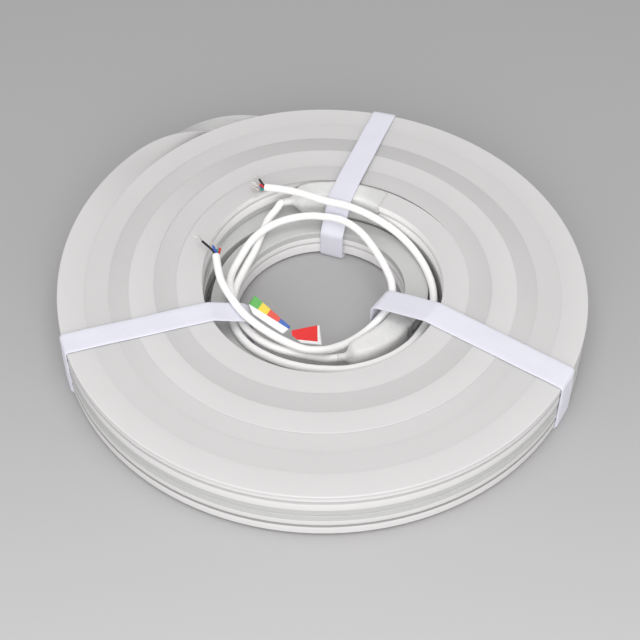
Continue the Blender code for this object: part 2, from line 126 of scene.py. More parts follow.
# The lower lead's route
LOWER_LEAD_ROUTE = (
    (0.0452, 272.0, 0.0128), (0.0470, 262.0, 0.0164), (0.0502, 250.0, 0.0204), (0.0532, 238.0, 0.0224),
    (0.0550, 225.0, 0.0228), (0.0562, 213.5, 0.0234), (0.0570, 203.0, 0.0252), (0.0574, 194.0, 0.0276),
    (0.0584, 185.0, 0.0282), (0.0604, 175.0, 0.0266), (0.0620, 163.5, 0.0246), (0.0628, 152.0, 0.0248),
    (0.0648, 138.0, 0.0276), (0.0664, 127.0, 0.0288), (0.0674, 115.0, 0.0294), (0.0660, 102.0, 0.0308),
    (0.0624, 90.0, 0.0328), (0.0594, 77.0, 0.0334), (0.0550, 63.0, 0.0314), (0.0494, 46.0, 0.0282),
    (0.0462, 27.0, 0.0258), (0.0452, 9.0, 0.0250), (0.0442, -9.0, 0.0236), (0.0412, -20.0, 0.0208),
    (0.0382, -32.0, 0.0170), (0.0356, -45.0, 0.0134), (0.0352, -60.0, 0.0124), (0.0386, -75.0, 0.0154),
    (0.0442, -89.0, 0.0200), (0.0488, -104.0, 0.0246), (0.0504, -119.0, 0.0286), (0.0524, -133.0, 0.0316),
    (0.0552, -145.0, 0.0342), (0.0574, -154.5, 0.0360), (0.0604, -166.0, 0.0376), (0.0636, -174.4, 0.0390),
    (0.0664, -182.4, 0.0404), (0.0710, -194.0, 0.0418),
)

# Each core: its turn about the lead, its bends from the sheath's cut end and its conductor's tip, in mm
UPPER_CORES = {
    "black": (135, ((2.2, -1.6, 1.6), (4.6, -3.9, 2.8)), (8.4, -6.6, 3.4)),
    "red": (45, ((1.8, 0.4, 1.4), (3.6, 0.0, 1.8)), (9.4, -1.8, 2.2)),
    "green": (315, ((1.6, 1.3, -1.0), (3.0, 1.9, -0.9)), (8.4, 4.4, -0.2)),
    "blue": (225, ((1.8, -1.0, -1.0), (3.6, -1.0, -0.6)), (10.4, 0.6, 0.4)),
}
LOWER_CORES = {
    "black": (45, ((4.2, 2.2, 1.4), (11.8, 7.4, 1.6)), (18.4, 10.8, 1.8)),
    "red": (225, ((2.0, -2.2, -0.4), (5.2, -3.3, 0.2)), (7.6, -3.6, 0.6)),
    "green": (315, ((2.0, -0.8, -0.2), (4.4, -1.0, 0.8)), (6.8, -1.3, 1.2)),
    "blue": (135, ((3.0, 0.3, 1.8), (6.0, 1.0, 2.5)), (9.0, 1.3, 3.0)),
}
CORE_COLOURS = {
    "black": (0.012, 0.012, 0.014),
    "red": (0.62, 0.03, 0.03),
    "green": (0.0, 0.30, 0.24),
    "blue": (0.03, 0.10, 0.50),
}

# Each strap: its plane's angle and offset, how far its leg stands in from the rim, the leg's rise, and how
# much wider than its solid the tape lies
STRAPS = {
    "strap_back": (70.1, 0.0137, 0.0174, 0.0010, 0.0),
    "strap_left": (197.0, 0.0068, 0.0243, 0.0102, 0.0),
    "strap_right": (325.5, 0.0156, 0.0386, 0.0080, 0.0024),
}
STRAP_GAP = 0.0003
STRAP_SHOULDER = 0.0024

# Each label: its corner on the lead, its two directions, and its outline in millimetres
LABELS = {
    "label_long": (
        (-42.7, -30.0, 34.6), (19.8, -11.5, -5.6), (-1.3, 11.6, 5.6),
        ((-1.0, 0.6), (20.5, 0.4), (22.5, 7.0), (-8.0, 12.0), (-8.0, 5.0)),
    ),
    "label_square": (
        (-13.5, -43.8, 26.0), (13.5, 2.5, -5.0), (-2.5, 12.1, 6.2),
        ((0.0, 0.2), (13.8, 0.2), (12.4, 13.2), (-6.6, 7.6), (-6.2, 4.4)),
    ),
}


def length_setting(name, description, default):
    return bpy.props.FloatProperty(name=name, description=description, default=default, unit="LENGTH")


def colour_setting(name, description, default):
    return bpy.props.FloatVectorProperty(name=name, description=description, default=default, subtype="COLOR")


class StripSettings(bpy.types.PropertyGroup):
    width: length_setting("Strip width", "Width of the extruded section", 0.0148)
    height: length_setting("Strip height", "Height from the foot to the diffuser", 0.0180)
    radius: length_setting("Roll radius", "Outer radius of the roll", 0.1680)
    turn_gap: length_setting("Turn gap", "Gap between two turns", 0.0004)
    layer_gap: length_setting("Layer gap", "Gap between the two layers", 0.0003)
    body_colour: colour_setting("Body colour", "White silicone", (0.655, 0.647, 0.642))
    diffuser_colour: colour_setting("Diffuser colour", "Milky silicone over the lamps", (0.56, 0.565, 0.555))
    cap_colour: colour_setting("Cap colour", "Milky silicone of the end caps", (0.80, 0.80, 0.785))


class LeadSettings(bpy.types.PropertyGroup):
    diameter: length_setting("Sheath diameter", "Outer diameter of a lead", 0.0050)
    core_diameter: length_setting("Core diameter", "Diameter of an insulated core", 0.0016)
    strand_diameter: length_setting("Strand diameter", "Diameter of a bare strand", 0.00023)
    sheath_colour: colour_setting("Sheath colour", "White cable sheath", (0.96, 0.955, 0.94))


class StrapSettings(bpy.types.PropertyGroup):
    width: length_setting("Strap width", "Width of the hook-and-loop tape", 0.0160)
    thickness: length_setting("Strap thickness", "Thickness of the tape", 0.0012)
    bend: length_setting("Strap bend", "Radius of the tape's bends", 0.0018)
    colour: colour_setting("Strap colour", "White nylon", (0.755, 0.755, 0.84))


class StageSettings(bpy.types.PropertyGroup):
    floor_colour: colour_setting("Floor colour", "Pale grey paper", (0.525, 0.52, 0.52))
    lens: bpy.props.FloatProperty(name="Lens", description="Focal length in millimetres", default=78.39)
    distance: length_setting("Camera distance", "From the camera to its aim", 0.8654)
    elevation: bpy.props.FloatProperty(
        name="Camera elevation", description="Angle above the floor",
        default=math.radians(48.252), subtype="ANGLE",
    )


class RollSettings(bpy.types.PropertyGroup):
    strip: bpy.props.PointerProperty(type=StripSettings, name="Strip", description="The strip and its caps")
    leads: bpy.props.PointerProperty(type=LeadSettings, name="Leads", description="The leads and their cores")
    straps: bpy.props.PointerProperty(type=StrapSettings, name="Straps", description="The straps")
    stage: bpy.props.PointerProperty(type=StageSettings, name="Stage", description="Floor, camera and lights")


def settings():
    return bpy.context.scene.neon_roll


# Places along the coil


def ease(angle, span):
    """0 before the span, 1 after it, and a smooth step between."""
    t = min(max((angle - span[0]) / (span[1] - span[0]), 0.0), 1.0)
    return t * t * (3 - 2 * t)


def bump(angle, span):
    """0 outside the span, and a smooth hump of 1 at its middle."""
    t = (angle - span[0]) / (span[1] - span[0])
    return math.sin(math.pi * t) ** 2 if 0 < t < 1 else 0.0


def mix(a, b, share):
    return a * (1 - share) + b * share


def turn_pitch():
    return settings().strip.width + settings().strip.turn_gap


def lane_centre(lane):
    """The centre radius of a strip that lies a number of turns in from the outer wall."""
    strip = settings().strip
    return strip.radius - strip.width / 2 - turn_pitch() * lane


def lower_lane(angle):
    """How many turns the lower layer's strip lies in from the outer wall."""
    lane = LOWER_TURNS - 1 - ease(angle, FIRST_LOWER_CROSSING)
    for turn in range(1, LOWER_TURNS - 1):
        start = 360 * turn + CROSSING_DELAY * (LOWER_TURNS - 2 - turn)
        lane -= ease(angle - start, LAST_LOWER_CROSSING)
    return lane


def upper_lane(angle):
    """How many turns the upper layer's strip lies in from the outer wall."""
    return sum(ease(angle - CLIMB_START - 360 * turn, UPPER_CROSSING) for turn in range(1, UPPER_TURNS))


def upper_turns(angle):
    """The upper layer's turn at an angle, the turn that it crosses to, and its share of the way there."""
    lane = upper_lane(angle)
    turn = min(int(lane), UPPER_TURNS - 1)
    return turn, min(turn + 1, UPPER_TURNS - 1), lane - turn


def layer_heights():
    """The middle heights of the strip in the lower and the upper layer."""
    strip = settings().strip
    lower = settings().straps.thickness + STRAP_GAP + strip.height / 2
    return lower, lower + strip.height + strip.layer_gap


def strip_place(angle):
    """The strip's centre radius, height and roll at an angle, before the turns are fitted to their edges."""
    climb = angle - CLIMB_START
    radius = lane_centre(lower_lane(angle) if climb < CLIMB_BACK[1] else upper_lane(angle))
    radius += CLIMB_BULGE * (ease(climb, CLIMB_OUT) - ease(climb, CLIMB_BACK))
    radius -= LOOSE_END_SPRING * math.exp((LOWER_END - angle) / LOOSE_END_REACH)
    radius -= LOOSE_TURN_SAG * bump(angle, LOOSE_TURN_SPAN)
    end = ease(angle, (STRIP_END - END_LIFT_ANGLE, STRIP_END))
    radius -= (END_LIFT + settings().strip.turn_gap) * end
    start = 1 - ease(angle, (LOWER_END, LOWER_END + END_LIFT_ANGLE))
    low, high = layer_heights()
    height = mix(low, high, ease(climb, CLIMB_RISE)) + END_LIFT * (start + end)
    return radius, height, math.pi * ease(climb, CLIMB_TWIST)


def climb_fit(angle):
    """The centre shift and width share that close the climbing strip up to the turn inside it."""
    share = ease(angle - CLIMB_START, CLIMB_CLOSING)
    if share == 0:
        return 0.0, 1.0
    pitch = turn_pitch()
    shift, wide = turn_fit(angle + 360)
    inner = strip_place(angle + 360)[0] + shift + pitch / 2 * wide
    centre = strip_place(angle)[0]
    outer = centre + pitch / 2
    return ((inner + outer) / 2 - centre) * share, mix(1.0, (outer - inner) / pitch, share)


def turn_fit(angle):
    """The centre shift and width share at an angle, where the real turns are wider or narrower."""
    if angle < CLIMB_START + CLIMB_BACK[1] + FIT_AFTER_CLIMB:
        return climb_fit(angle)
    turn, following, part = upper_turns(angle)
    centres = [(a + b) / 2 for a, b in zip(TURN_EDGES, TURN_EDGES[1:])]
    widths = [a - b for a, b in zip(TURN_EDGES, TURN_EDGES[1:])]
    shift = mix(centres[turn], centres[following], part) - lane_centre(turn + part)
    width = mix(widths[turn], widths[following], part)
    share = 1 - ease(angle, (STRIP_END - FIT_BEFORE_END[0], STRIP_END - FIT_BEFORE_END[1]))
    return shift * share, mix(1.0, width / turn_pitch(), share)


def polar(radius, angle, height):
    turn = math.radians(angle)
    return Vector((radius * math.cos(turn), radius * math.sin(turn), height))


# Meshes and curves


def quads(rows, columns, closed_rows=False, closed_columns=False):
    """The faces of a grid of rows times columns."""
    faces = []
    for row in range(rows if closed_rows else rows - 1):
        here = row * columns
        below = (row + 1) % rows * columns
        for column in range(columns if closed_columns else columns - 1):
            beside = (column + 1) % columns
            faces.append((here + column, here + beside, below + beside, below + column))
    return faces


def grid_corners(rows, columns, along, across, closed_rows=False, closed_columns=False):
    """Texture places of a grid's face corners, in the order of quads: along the rows, across the columns."""
    corners = []
    for row in range(rows if closed_rows else rows - 1):
        for column in range(columns if closed_columns else columns - 1):
            for down, right in ((0, 0), (0, 1), (1, 1), (1, 0)):
                corners.append((along[row + down], across[column + right]))
    return corners


def add_ends(faces, corners, *rings):
    """Closes a tube with a face for each ring of points."""
    for ring in rings:
        faces.append(tuple(ring))
        corners += [(0.0, 0.0)] * len(ring)


def mesh_piece(name, places, faces, materials, slots=None, corners=None):
    """A smooth mesh object on the roll's axis, with its corners' places in texture space."""
    mesh = bpy.data.meshes.new(name)
    mesh.from_pydata([tuple(p) for p in places], [], faces)
    for finish in materials:
        mesh.materials.append(finish)
    if slots is not None:
        mesh.polygons.foreach_set("material_index", np.array(slots, dtype=np.int32))
    mesh.polygons.foreach_set("use_smooth", np.ones(len(mesh.polygons), dtype=bool))
    if corners is not None:
        layer = mesh.uv_layers.new(name="run")
        layer.data.foreach_set("uv", np.array(corners, dtype=np.float32).ravel())
    mesh.update()
    return on_axis(name, mesh)


def on_axis(name, data):
    """An object for a mesh or curve, on the roll's axis."""
    piece = bpy.data.objects.new(name, data)
    bpy.context.scene.collection.objects.link(piece)
    piece.location = ROLL_AXIS
    return piece


def keep_tones(piece, name, tones):
    """Keeps a tone at each point of a mesh, for its material."""
    layer = piece.data.attributes.new(name, "FLOAT_COLOR", "POINT")
    colours = np.repeat(np.array(tones, dtype=np.float32), 4).reshape(-1, 4)
    colours[:, 3] = 1.0
    layer.data.foreach_set("color", colours.ravel())


def stand_for(piece, node):
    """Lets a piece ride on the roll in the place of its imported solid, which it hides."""
    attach(piece, "root")
    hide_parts(node)


def runs(points):
    """The distance along the points, starting at 0."""
    lengths = [0.0]
    for a, b in zip(points, points[1:]):
        lengths.append(lengths[-1] + (Vector(b) - Vector(a)).length)
    return lengths


def loop_runs(points):
    """The distance round a closed line of points, with the way back to the first."""
    return runs([*points, points[0]])


def spaced(points, spacing):
    """Points a set distance apart along a line of points, with both of its ends."""
    lengths = runs(points)
    count = max(2, round(lengths[-1] / spacing))
    found = []
    reached = 0
    for index in range(count + 1):
        wanted = lengths[-1] * index / count
        while reached < len(points) - 2 and lengths[reached + 1] < wanted:
            reached += 1
        share = (wanted - lengths[reached]) / (lengths[reached + 1] - lengths[reached])
        found.append(points[reached].lerp(points[reached + 1], share))
    return found


CURVE_STEPS = 12


def smooth_points(route, spacing, before=None):
    """Points a set distance apart along a Catmull-Rom curve through the route's own points."""
    padded = [before or 2 * route[0] - route[1], *route, 2 * route[-1] - route[-2]]
    fine = []
    for a, b, c, d in zip(padded, padded[1:], padded[2:], padded[3:]):
        for step in range(CURVE_STEPS):
            t = step / CURVE_STEPS
            straight = 2 * b + (c - a) * t
            curved = straight + (2 * a - 5 * b + 4 * c - d) * t * t + (3 * b - a - 3 * c + d) * t ** 3
            fine.append(0.5 * curved)
    return spaced([*fine, route[-1]], spacing)


def line_direction(points, index):
    """The way a line of points runs at one of them."""
    return (points[min(index + 1, len(points) - 1)] - points[max(index - 1, 0)]).normalized()


def upright(forwards):
    """The direction square to a line that is the nearest to straight up."""
    return (Vector((0, 0, 1)) - forwards * forwards.z).normalized()


def round_curve(name, lines, diameter, finish, sides):
    """A round curve along each line of points."""
    curve = bpy.data.curves.new(name, "CURVE")
    curve.dimensions = "3D"
    curve.bevel_depth = diameter / 2
    curve.bevel_resolution = sides
    curve.resolution_u = 1
    curve.use_fill_caps = True
    for points in lines:
        spline = curve.splines.new("POLY")
        spline.points.add(len(points) - 1)
        spline.use_smooth = True
        for place, at in zip(spline.points, points):
            place.co = (*at, 1.0)
    curve.materials.append(finish)
    return on_axis(name, curve)


# Materials


PAPER_WHITE = (0.85, 0.85, 0.85)
# Where along y the floor's painted shade for the lamps' fall-off fades in, and how dark it gets at the far
# end
FLOOR_FADE = (-0.36, 0.10)
FLOOR_FAR_TONE = 0.78


class Finish:
    """A node material in the making: it adds nodes and links them."""

    def __init__(self, name, colour, roughness):
        self.material = bpy.data.materials.new(name)
        self.material.use_nodes = True
        self.tree = self.material.node_tree
        self.shader = self.tree.nodes["Principled BSDF"]
        self.shader.inputs["Base Color"].default_value = (*colour, 1.0)
        self.shader.inputs["Roughness"].default_value = roughness

    def add(self, kind, inputs=None, **values):
        """A node with its own values and the values of its inputs."""
        node = self.tree.nodes.new(kind)
        for key, value in values.items():
            setattr(node, key, value)
        for key, value in (inputs or {}).items():
            node.inputs[key].default_value = value
        return node

    def link(self, source, target):
        self.tree.links.new(source, target)

    def run_coordinates(self, scale=(1.0, 1.0, 1.0)):
        """The mesh's own length and width coordinates, scaled."""
        where = self.add("ShaderNodeUVMap", uv_map="run")
        scaled = self.add("ShaderNodeMapping", {"Scale": scale})
        self.link(where.outputs["UV"], scaled.inputs["Vector"])
        return scaled.outputs["Vector"]

    def speckle(self, vector, scale, detail, rough=0.5):
        made = self.add("ShaderNodeTexNoise", {"Scale": scale, "Detail": detail, "Roughness": rough})
        self.link(vector, made.inputs["Vector"])
        return made.outputs["Fac"]

    def grain(self, scale, detail, rough=0.5):
        """Speckles of the same size all through the piece."""
        return self.speckle(self.add("ShaderNodeTexCoord").outputs["Object"], scale, detail, rough)

    def drawn_lines(self, along, across, detail):
        """Fine lines along the piece, as an extrusion die leaves them."""
        return self.speckle(self.run_coordinates((along, across, 1.0)), 1.0, detail)

    def gloss(self, value, low, high):
        """Roughness between two values by a value from 0 to 1."""
        made = self.add("ShaderNodeMapRange", {"To Min": low, "To Max": high})
        self.link(value, made.inputs["Value"])
        self.link(made.outputs["Result"], self.shader.inputs["Roughness"])

    def raise_by(self, value, distance, strength, under=None):
        """A relief by a value, on top of another relief if there is one."""
        made = self.add("ShaderNodeBump", {"Distance": distance, "Strength": strength})
        self.link(value, made.inputs["Height"])
        if under is not None:
            self.link(under, made.inputs["Normal"])
        self.link(made.outputs["Normal"], self.shader.inputs["Normal"])
        return made.outputs["Normal"]

    def shade(self, colour_a, colour_b, value):
        """The base colour between two colours by a value."""
        inputs = {6: (*colour_a, 1.0), 7: (*colour_b, 1.0)}
        made = self.add("ShaderNodeMix", inputs, data_type="RGBA")
        self.link(value, made.inputs[0])
        self.show(made)

    def show(self, mixed):
        """Makes a mixed colour the base colour."""
        self.colour = mixed.outputs[2]
        self.link(self.colour, self.shader.inputs["Base Color"])

    def multiply(self, by, share=1.0):
        """The base colour darkened by another colour or value."""
        made = self.add("ShaderNodeMix", {0: share}, data_type="RGBA", blend_type="MULTIPLY")
        self.link(self.colour, made.inputs[6])
        self.link(by, made.inputs[7])
        self.show(made)

    def tinted_by(self, attribute):
        """The base colour darkened by the tones kept at the mesh's points."""
        self.multiply(self.add("ShaderNodeAttribute", attribute_name=attribute).outputs["Color"])

    def let_light_in(self, weight, radius):
        """Light that scatters under the surface, as in silicone."""
        for socket, value in (("Weight", weight), ("Radius", (radius,) * 3), ("Scale", 1.0)):
            self.shader.inputs["Subsurface " + socket].default_value = value


def darker(colour, share):
    return tuple(c * share for c in colour)


def mottled(name, colour, roughness, dark, grain, gloss):
    """A finish whose colour, down to a darker share of it, and whose gloss vary with one grain."""
    finish = Finish(name, colour, roughness)
    cloud = finish.grain(*grain)
    finish.shade(darker(colour, dark), colour, cloud)
    finish.gloss(cloud, *gloss)
    return finish, cloud


def white_silicone():
    """Satin white silicone with fine lines of the extrusion along its length and a little dust."""
    colour = settings().strip.body_colour
    finish, _ = mottled("white_silicone", colour, 0.5, dark=0.965, grain=(38.0, 4.0), gloss=(0.42, 0.60))
    # Painted light and shade kept at the strip's points, for its turns, walls, grooves and climb
    finish.tinted_by("painted_shading")
    dust = finish.raise_by(finish.grain(scale=900.0, detail=2.0), distance=0.00004, strength=0.5)
    lines = finish.drawn_lines(along=6.0, across=2600.0, detail=3.0)
    finish.raise_by(lines, distance=0.00005, strength=0.6, under=dust)
    finish.let_light_in(weight=0.12, radius=0.004)
    return finish.material


def diffuser_silicone():
    """Milky translucent silicone."""
    colour = settings().strip.diffuser_colour
    finish, _ = mottled("diffuser_silicone", colour, 0.38, dark=0.96, grain=(60.0, 3.0), gloss=(0.32, 0.45))
    lines = finish.drawn_lines(along=4.0, across=1800.0, detail=2.0)
    finish.raise_by(lines, distance=0.00004, strength=0.25)
    finish.let_light_in(weight=0.35, radius=0.005)
    return finish.material


def cap_silicone():
    """Poured milky silicone with a soft, uneven gloss."""
    colour = settings().strip.cap_colour
    finish = Finish("cap_silicone", colour, 0.3)
    lumps = finish.grain(scale=90.0, detail=2.0)
    finish.shade(darker(colour, 0.9), colour, finish.grain(scale=45.0, detail=5.0))
    finish.tinted_by("pour_tone")
    finish.gloss(lumps, low=0.18, high=0.38)
    finish.raise_by(lumps, distance=0.0009, strength=0.7)
    finish.let_light_in(weight=0.4, radius=0.006)
    return finish.material


def lead_sheath():
    """Soft white cable sheath, a little pitted."""
    colour = settings().leads.sheath_colour
    finish, _ = mottled("lead_sheath", colour, 0.42, dark=0.96, grain=(70.0, 4.0), gloss=(0.36, 0.5))
    finish.raise_by(finish.grain(scale=1500.0, detail=2.0), distance=0.00004, strength=0.5)
    finish.let_light_in(weight=0.3, radius=0.003)
    return finish.material


def core_insulation(name, colour):
    """Coloured plastic with a slight mottle."""
    finish, cloud = mottled("core_" + name, colour, 0.4, dark=0.8, grain=(400.0, 3.0), gloss=(0.34, 0.5))
    finish.raise_by(cloud, distance=0.00005, strength=0.4)
    return finish.material


def tinned_copper():
    """Bright tin over copper that shows through here and there."""
    finish = Finish("tinned_copper", (0.85, 0.83, 0.81), 0.3)
    cloud = finish.grain(scale=900.0, detail=3.0)
    finish.shade((0.66, 0.62, 0.58), (0.93, 0.92, 0.90), cloud)
    finish.gloss(cloud, low=0.22, high=0.45)
    finish.raise_by(cloud, distance=0.00003, strength=0.4)
    finish.shader.inputs["Metallic"].default_value = 1.0
    return finish.material


def strap_nylon():
    """White woven hook-and-loop tape: a plain weave with a nap of fine loops."""
    colour = settings().straps.colour
    finish = Finish("strap_nylon", colour, 0.85)
    where = finish.run_coordinates()
    weave = finish.add("ShaderNodeMath", operation="MULTIPLY")
    for place, way in enumerate("XY"):
        yarn = finish.add("ShaderNodeTexWave", {"Scale": 420.0, "Distortion": 1.2}, bands_direction=way)
        finish.link(where, yarn.inputs["Vector"])
        finish.link(yarn.outputs["Fac"], weave.inputs[place])
    nap = finish.grain(scale=1400.0, detail=3.0, rough=0.7)
    finish.shade(darker(colour, 0.93), colour, finish.grain(scale=55.0, detail=4.0))
    under = finish.raise_by(weave.outputs["Value"], distance=0.0002, strength=0.5)
    finish.raise_by(nap, distance=0.0002, strength=0.6, under=under)
    finish.gloss(nap, low=0.75, high=0.95)
    finish.shader.inputs["Sheen Weight"].default_value = 0.25
    return finish.material


def label_paper(name, fields, splits, blank):
    """Coated paper printed with plain colour fields that meet at the splits along it, above a blank part."""
    finish = Finish(name, fields[0], 0.45)
    apart = finish.add("ShaderNodeSeparateXYZ")
    finish.link(finish.run_coordinates(), apart.inputs["Vector"])
    ramp = finish.add("ShaderNodeValToRGB")
    steps = ramp.color_ramp
    steps.interpolation = "CONSTANT"
    steps.elements.remove(steps.elements[1])
    steps.elements[0].color = (*fields[0], 1.0)
    for place, field in zip(splits, fields[1:]):
        steps.elements.new(place).color = (*field, 1.0)
    finish.link(apart.outputs["X"], ramp.inputs["Fac"])
    edge = finish.add("ShaderNodeMath", {1: blank}, operation="GREATER_THAN")
    finish.link(apart.outputs["Y"], edge.inputs[0])
    printed = finish.add("ShaderNodeMix", {6: (*PAPER_WHITE, 1.0)}, data_type="RGBA")
    finish.link(edge.outputs["Value"], printed.inputs[0])
    finish.link(ramp.outputs["Color"], printed.inputs[7])
    finish.show(printed)
    fibre = finish.grain(scale=700.0, detail=4.0)
    finish.multiply(fibre, share=0.2)
    finish.raise_by(fibre, distance=0.00005, strength=0.5)
    return finish.material


def floor_paper():
    """Pale paper with a painted shade that darkens it a little towards its far end, as the lamps' light falls
    off.
    """
    colour = settings().stage.floor_colour
    finish = Finish("floor_paper", colour, 0.9)
    where = finish.add("ShaderNodeSeparateXYZ")
    finish.link(finish.add("ShaderNodeTexCoord").outputs["Object"], where.inputs["Vector"])
    fade = {"From Min": FLOOR_FADE[0], "From Max": FLOOR_FADE[1]}
    far = finish.add("ShaderNodeMapRange", fade, interpolation_type="SMOOTHSTEP")
    finish.link(where.outputs["Y"], far.inputs["Value"])
    finish.shade(colour, darker(colour, FLOOR_FAR_TONE), far.outputs["Result"])
    finish.raise_by(finish.grain(scale=1800.0, detail=2.0), distance=0.00003, strength=0.3)
    return finish.material


# The strip


# The section's flats as shares of its half width, how far touching walls overlap, and how much of the gap
# between the layers the diffuser fills
DIFFUSER_FLAT = (0.0, 0.45, 0.85)
FOOT_FLAT = (0.62, 0.30, 0.0)
WALL_OVERLAP = 0.00001
GAP_FILL = 0.45

# The diffuser: its height, how far in its wall is, its rounded edge, the step to the body, and its faces
DIFFUSER_HEIGHT = 0.0049
DIFFUSER_INSET = 0.00006
DIFFUSER_EDGE = ((0.00030, 0.0), (0.00010, 0.00008), (DIFFUSER_INSET, 0.0004))
DIFFUSER_STEP = ((0.00001, 0.0002), (0.0, 0.0006))
DIFFUSER_FACES = 7

# The groove above the foot: its depth, its edge as shares of the depth and distances, its lower edge and
# height in the lower and in the upper layer, and how much of the depth shows on the hole's side
GROOVE_DEPTH = 0.00105
GROOVE_EDGE = ((0.0, 0.0004), (0.08, 0.00015), (0.95, -0.0001))
GROOVE_LOWER = (0.0070, 0.0019)
GROOVE_UPPER = (0.0046, 0.0023)
HOLE_SIDE_GROOVE = 0.3

# The foot's corner radii: the lower layer's outer and inner one, the upper layer's, and how much softer they
# are on the lower wall, the upper wall, the turn at the hole, and the turn that stands apart at the front
CORNER_STEPS = 4
CORNER_TIGHT = 0.0001
LOWER_CORNERS = (0.00010, 0.0003)
UPPER_CORNER = 0.00002
LOWER_WALL_SOFTER = 0.0009
UPPER_WALL_SOFTER = 0.0008
HOLE_TURN_SOFTER = 0.0007
PARTED_TURN = 3
PARTED_SPAN = (190, 350)
PARTED_SOFTER = 0.0010

# The walls' painted light and shade: painted shade in the lower and the upper layer's groove, painted light
# beside it, from the upper layer's top
#  edge down to the groove a painted shade that turns into a painted highlight, and the most painted light
#  round the hole. Then the lower layer's foot, and where the groove's painted shade ends.
GROOVE_TONES = (0.50, 0.80)
WALL_TONE = 1.12
LIP_TONES = (0.74, 1.22)
HOLE_WALL_TONE = 1.38
LOWER_FOOT_TONE = 0.93
GROOVE_SHADE_REACH = 0.0002
GROOVE_SHADE_DEPTH = 0.00004

# How near the foot's flat a point is to take the flat's tone, and the angles between two sections
FLAT_REACH = 0.0003
SECTION_STEP = 3
CLIMB_SECTION_STEP = 1.5


def section_half():
    """Half the section's width, with each turn's wall just inside its neighbour's."""
    return turn_pitch() / 2 + WALL_OVERLAP


def groove_place(above):
    """The groove's lower edge and its height: above is 0 in the lower layer and 1 in the upper."""
    return [mix(low, high, above) for low, high in zip(GROOVE_LOWER, GROOVE_UPPER)]


def half_outline(corner, groove, depth):
    """Half of the section from the middle of the diffuser to the middle of the foot."""
    half = section_half()
    tall = settings().strip.height / 2
    top = tall + settings().strip.layer_gap * GAP_FILL
    seam = tall - DIFFUSER_HEIGHT
    low = groove[0] - tall
    high = low + groove[1]
    points = [(half * share, top) for share in DIFFUSER_FLAT]
    points += [(half - inset, top - down) for inset, down in DIFFUSER_EDGE]
    points += [(half - DIFFUSER_INSET, tall - DIFFUSER_HEIGHT * 0.6), (half - DIFFUSER_INSET, seam)]
    points += [(half - inset, seam - down) for inset, down in DIFFUSER_STEP]
    points += [(half - depth * share, high + away) for share, away in GROOVE_EDGE]
    points.append((half - depth, (low + high) / 2))
    points += [(half - depth * share, low - away) for share, away in reversed(GROOVE_EDGE)]
    points += [(half, -tall + groove[0] * 0.6), (half, -tall + corner + CORNER_TIGHT)]
    for step in range(CORNER_STEPS + 1):
        turn = math.pi / 2 * step / CORNER_STEPS
        points.append((half - corner * (1 - math.cos(turn)), -tall + corner * (1 - math.sin(turn))))
    points.append((half - corner - CORNER_TIGHT, -tall))
    return points + [(half * share, -tall) for share in FOOT_FLAT]


def foot_corners(angle):
    """The radii of the foot's outer and inner corner at an angle."""
    outer, inner = LOWER_CORNERS
    if angle < CLIMB_START + CLIMB_BACK[0]:
        return outer + LOWER_WALL_SOFTER * (1 - min(1.0, lower_lane(angle))), inner
    lane = upper_lane(angle)
    parted = PARTED_SOFTER * max(0.0, 1 - abs(lane - PARTED_TURN)) * bump(angle % 360, PARTED_SPAN)
    outer = UPPER_CORNER + UPPER_WALL_SOFTER * (1 - min(1.0, 2 * lane)) + parted
    return outer, UPPER_CORNER + HOLE_TURN_SOFTER * max(0.0, lane - UPPER_TURNS + 2)


def section_outline(angle):
    """The whole section at an angle. Its groove fades out at the climb and is shallow on the hole's side."""
    climb = angle - CLIMB_START
    depth = GROOVE_DEPTH * (1 - min(1.0, 2 * bump(climb, CLIMB_SMOOTH)))
    groove = groove_place(ease(climb, CLIMB_TWIST))
    outer, inner = foot_corners(angle)
    beside_hole = angle < LOWER_END + 330 or angle > STRIP_END - 360
    inner_depth = depth * HOLE_SIDE_GROOVE if beside_hole else depth
    sides = [half_outline(outer, groove, depth), half_outline(inner, groove, inner_depth)]
    if climb >= sum(CLIMB_TWIST) / 2:
        sides.reverse()
    return sides[0] + [(-x, y) for x, y in reversed(sides[1][1:-1])]


def wall_tone(angle, x, y):
    """The painted light and shade of a side wall: painted shade in the grooves, and the most painted light on
    the walls round the hole.
    """
    above = ease(angle - CLIMB_START, CLIMB_TWIST)
    foot, high = groove_place(above)
    level = y + settings().strip.height / 2
    round_hole = (angle < LOWER_END + 360 and x < 0) or (angle > STRIP_END - 360 and x > 0)
    in_groove = foot - GROOVE_SHADE_REACH < level < foot + high + GROOVE_SHADE_REACH
    if in_groove and abs(x) < section_half() - GROOVE_SHADE_DEPTH:
        return 1.0 if round_hole else mix(*GROOVE_TONES, above)
    if round_hole:
        return HOLE_WALL_TONE
    # A painted shade at the top edge that turns into a painted highlight on the lip above the groove
    lip = mix(*LIP_TONES, level / foot) if level < foot else 1.0
    return WALL_TONE * mix(1.0, lip, above)


def foot_tone(angle, across):
    """The painted shade and light of the foot's flat at a place across it, from -1 at its inner to 1 at its
    outer edge.
    """
    if angle < CLIMB_START + CLIMB_BACK[0]:
        return LOWER_FOOT_TONE
    turn, following, part = upper_turns(angle)
    tones = []
    for inner, outer, lean in (TURN_TONES[turn], TURN_TONES[following]):
        # A painted highlight: each turn's lean lightens it towards the front
        tones.append(mix(inner, outer, (across + 1) / 2) - lean * math.sin(math.radians(angle)))
    return mix(*tones, part)


def climb_tone(angle):
    """The painted shade of the strip where it climbs, against the rest of its length."""
    return 1 - CLIMB_SHADE * bump(angle - CLIMB_START, CLIMB_SHADED)


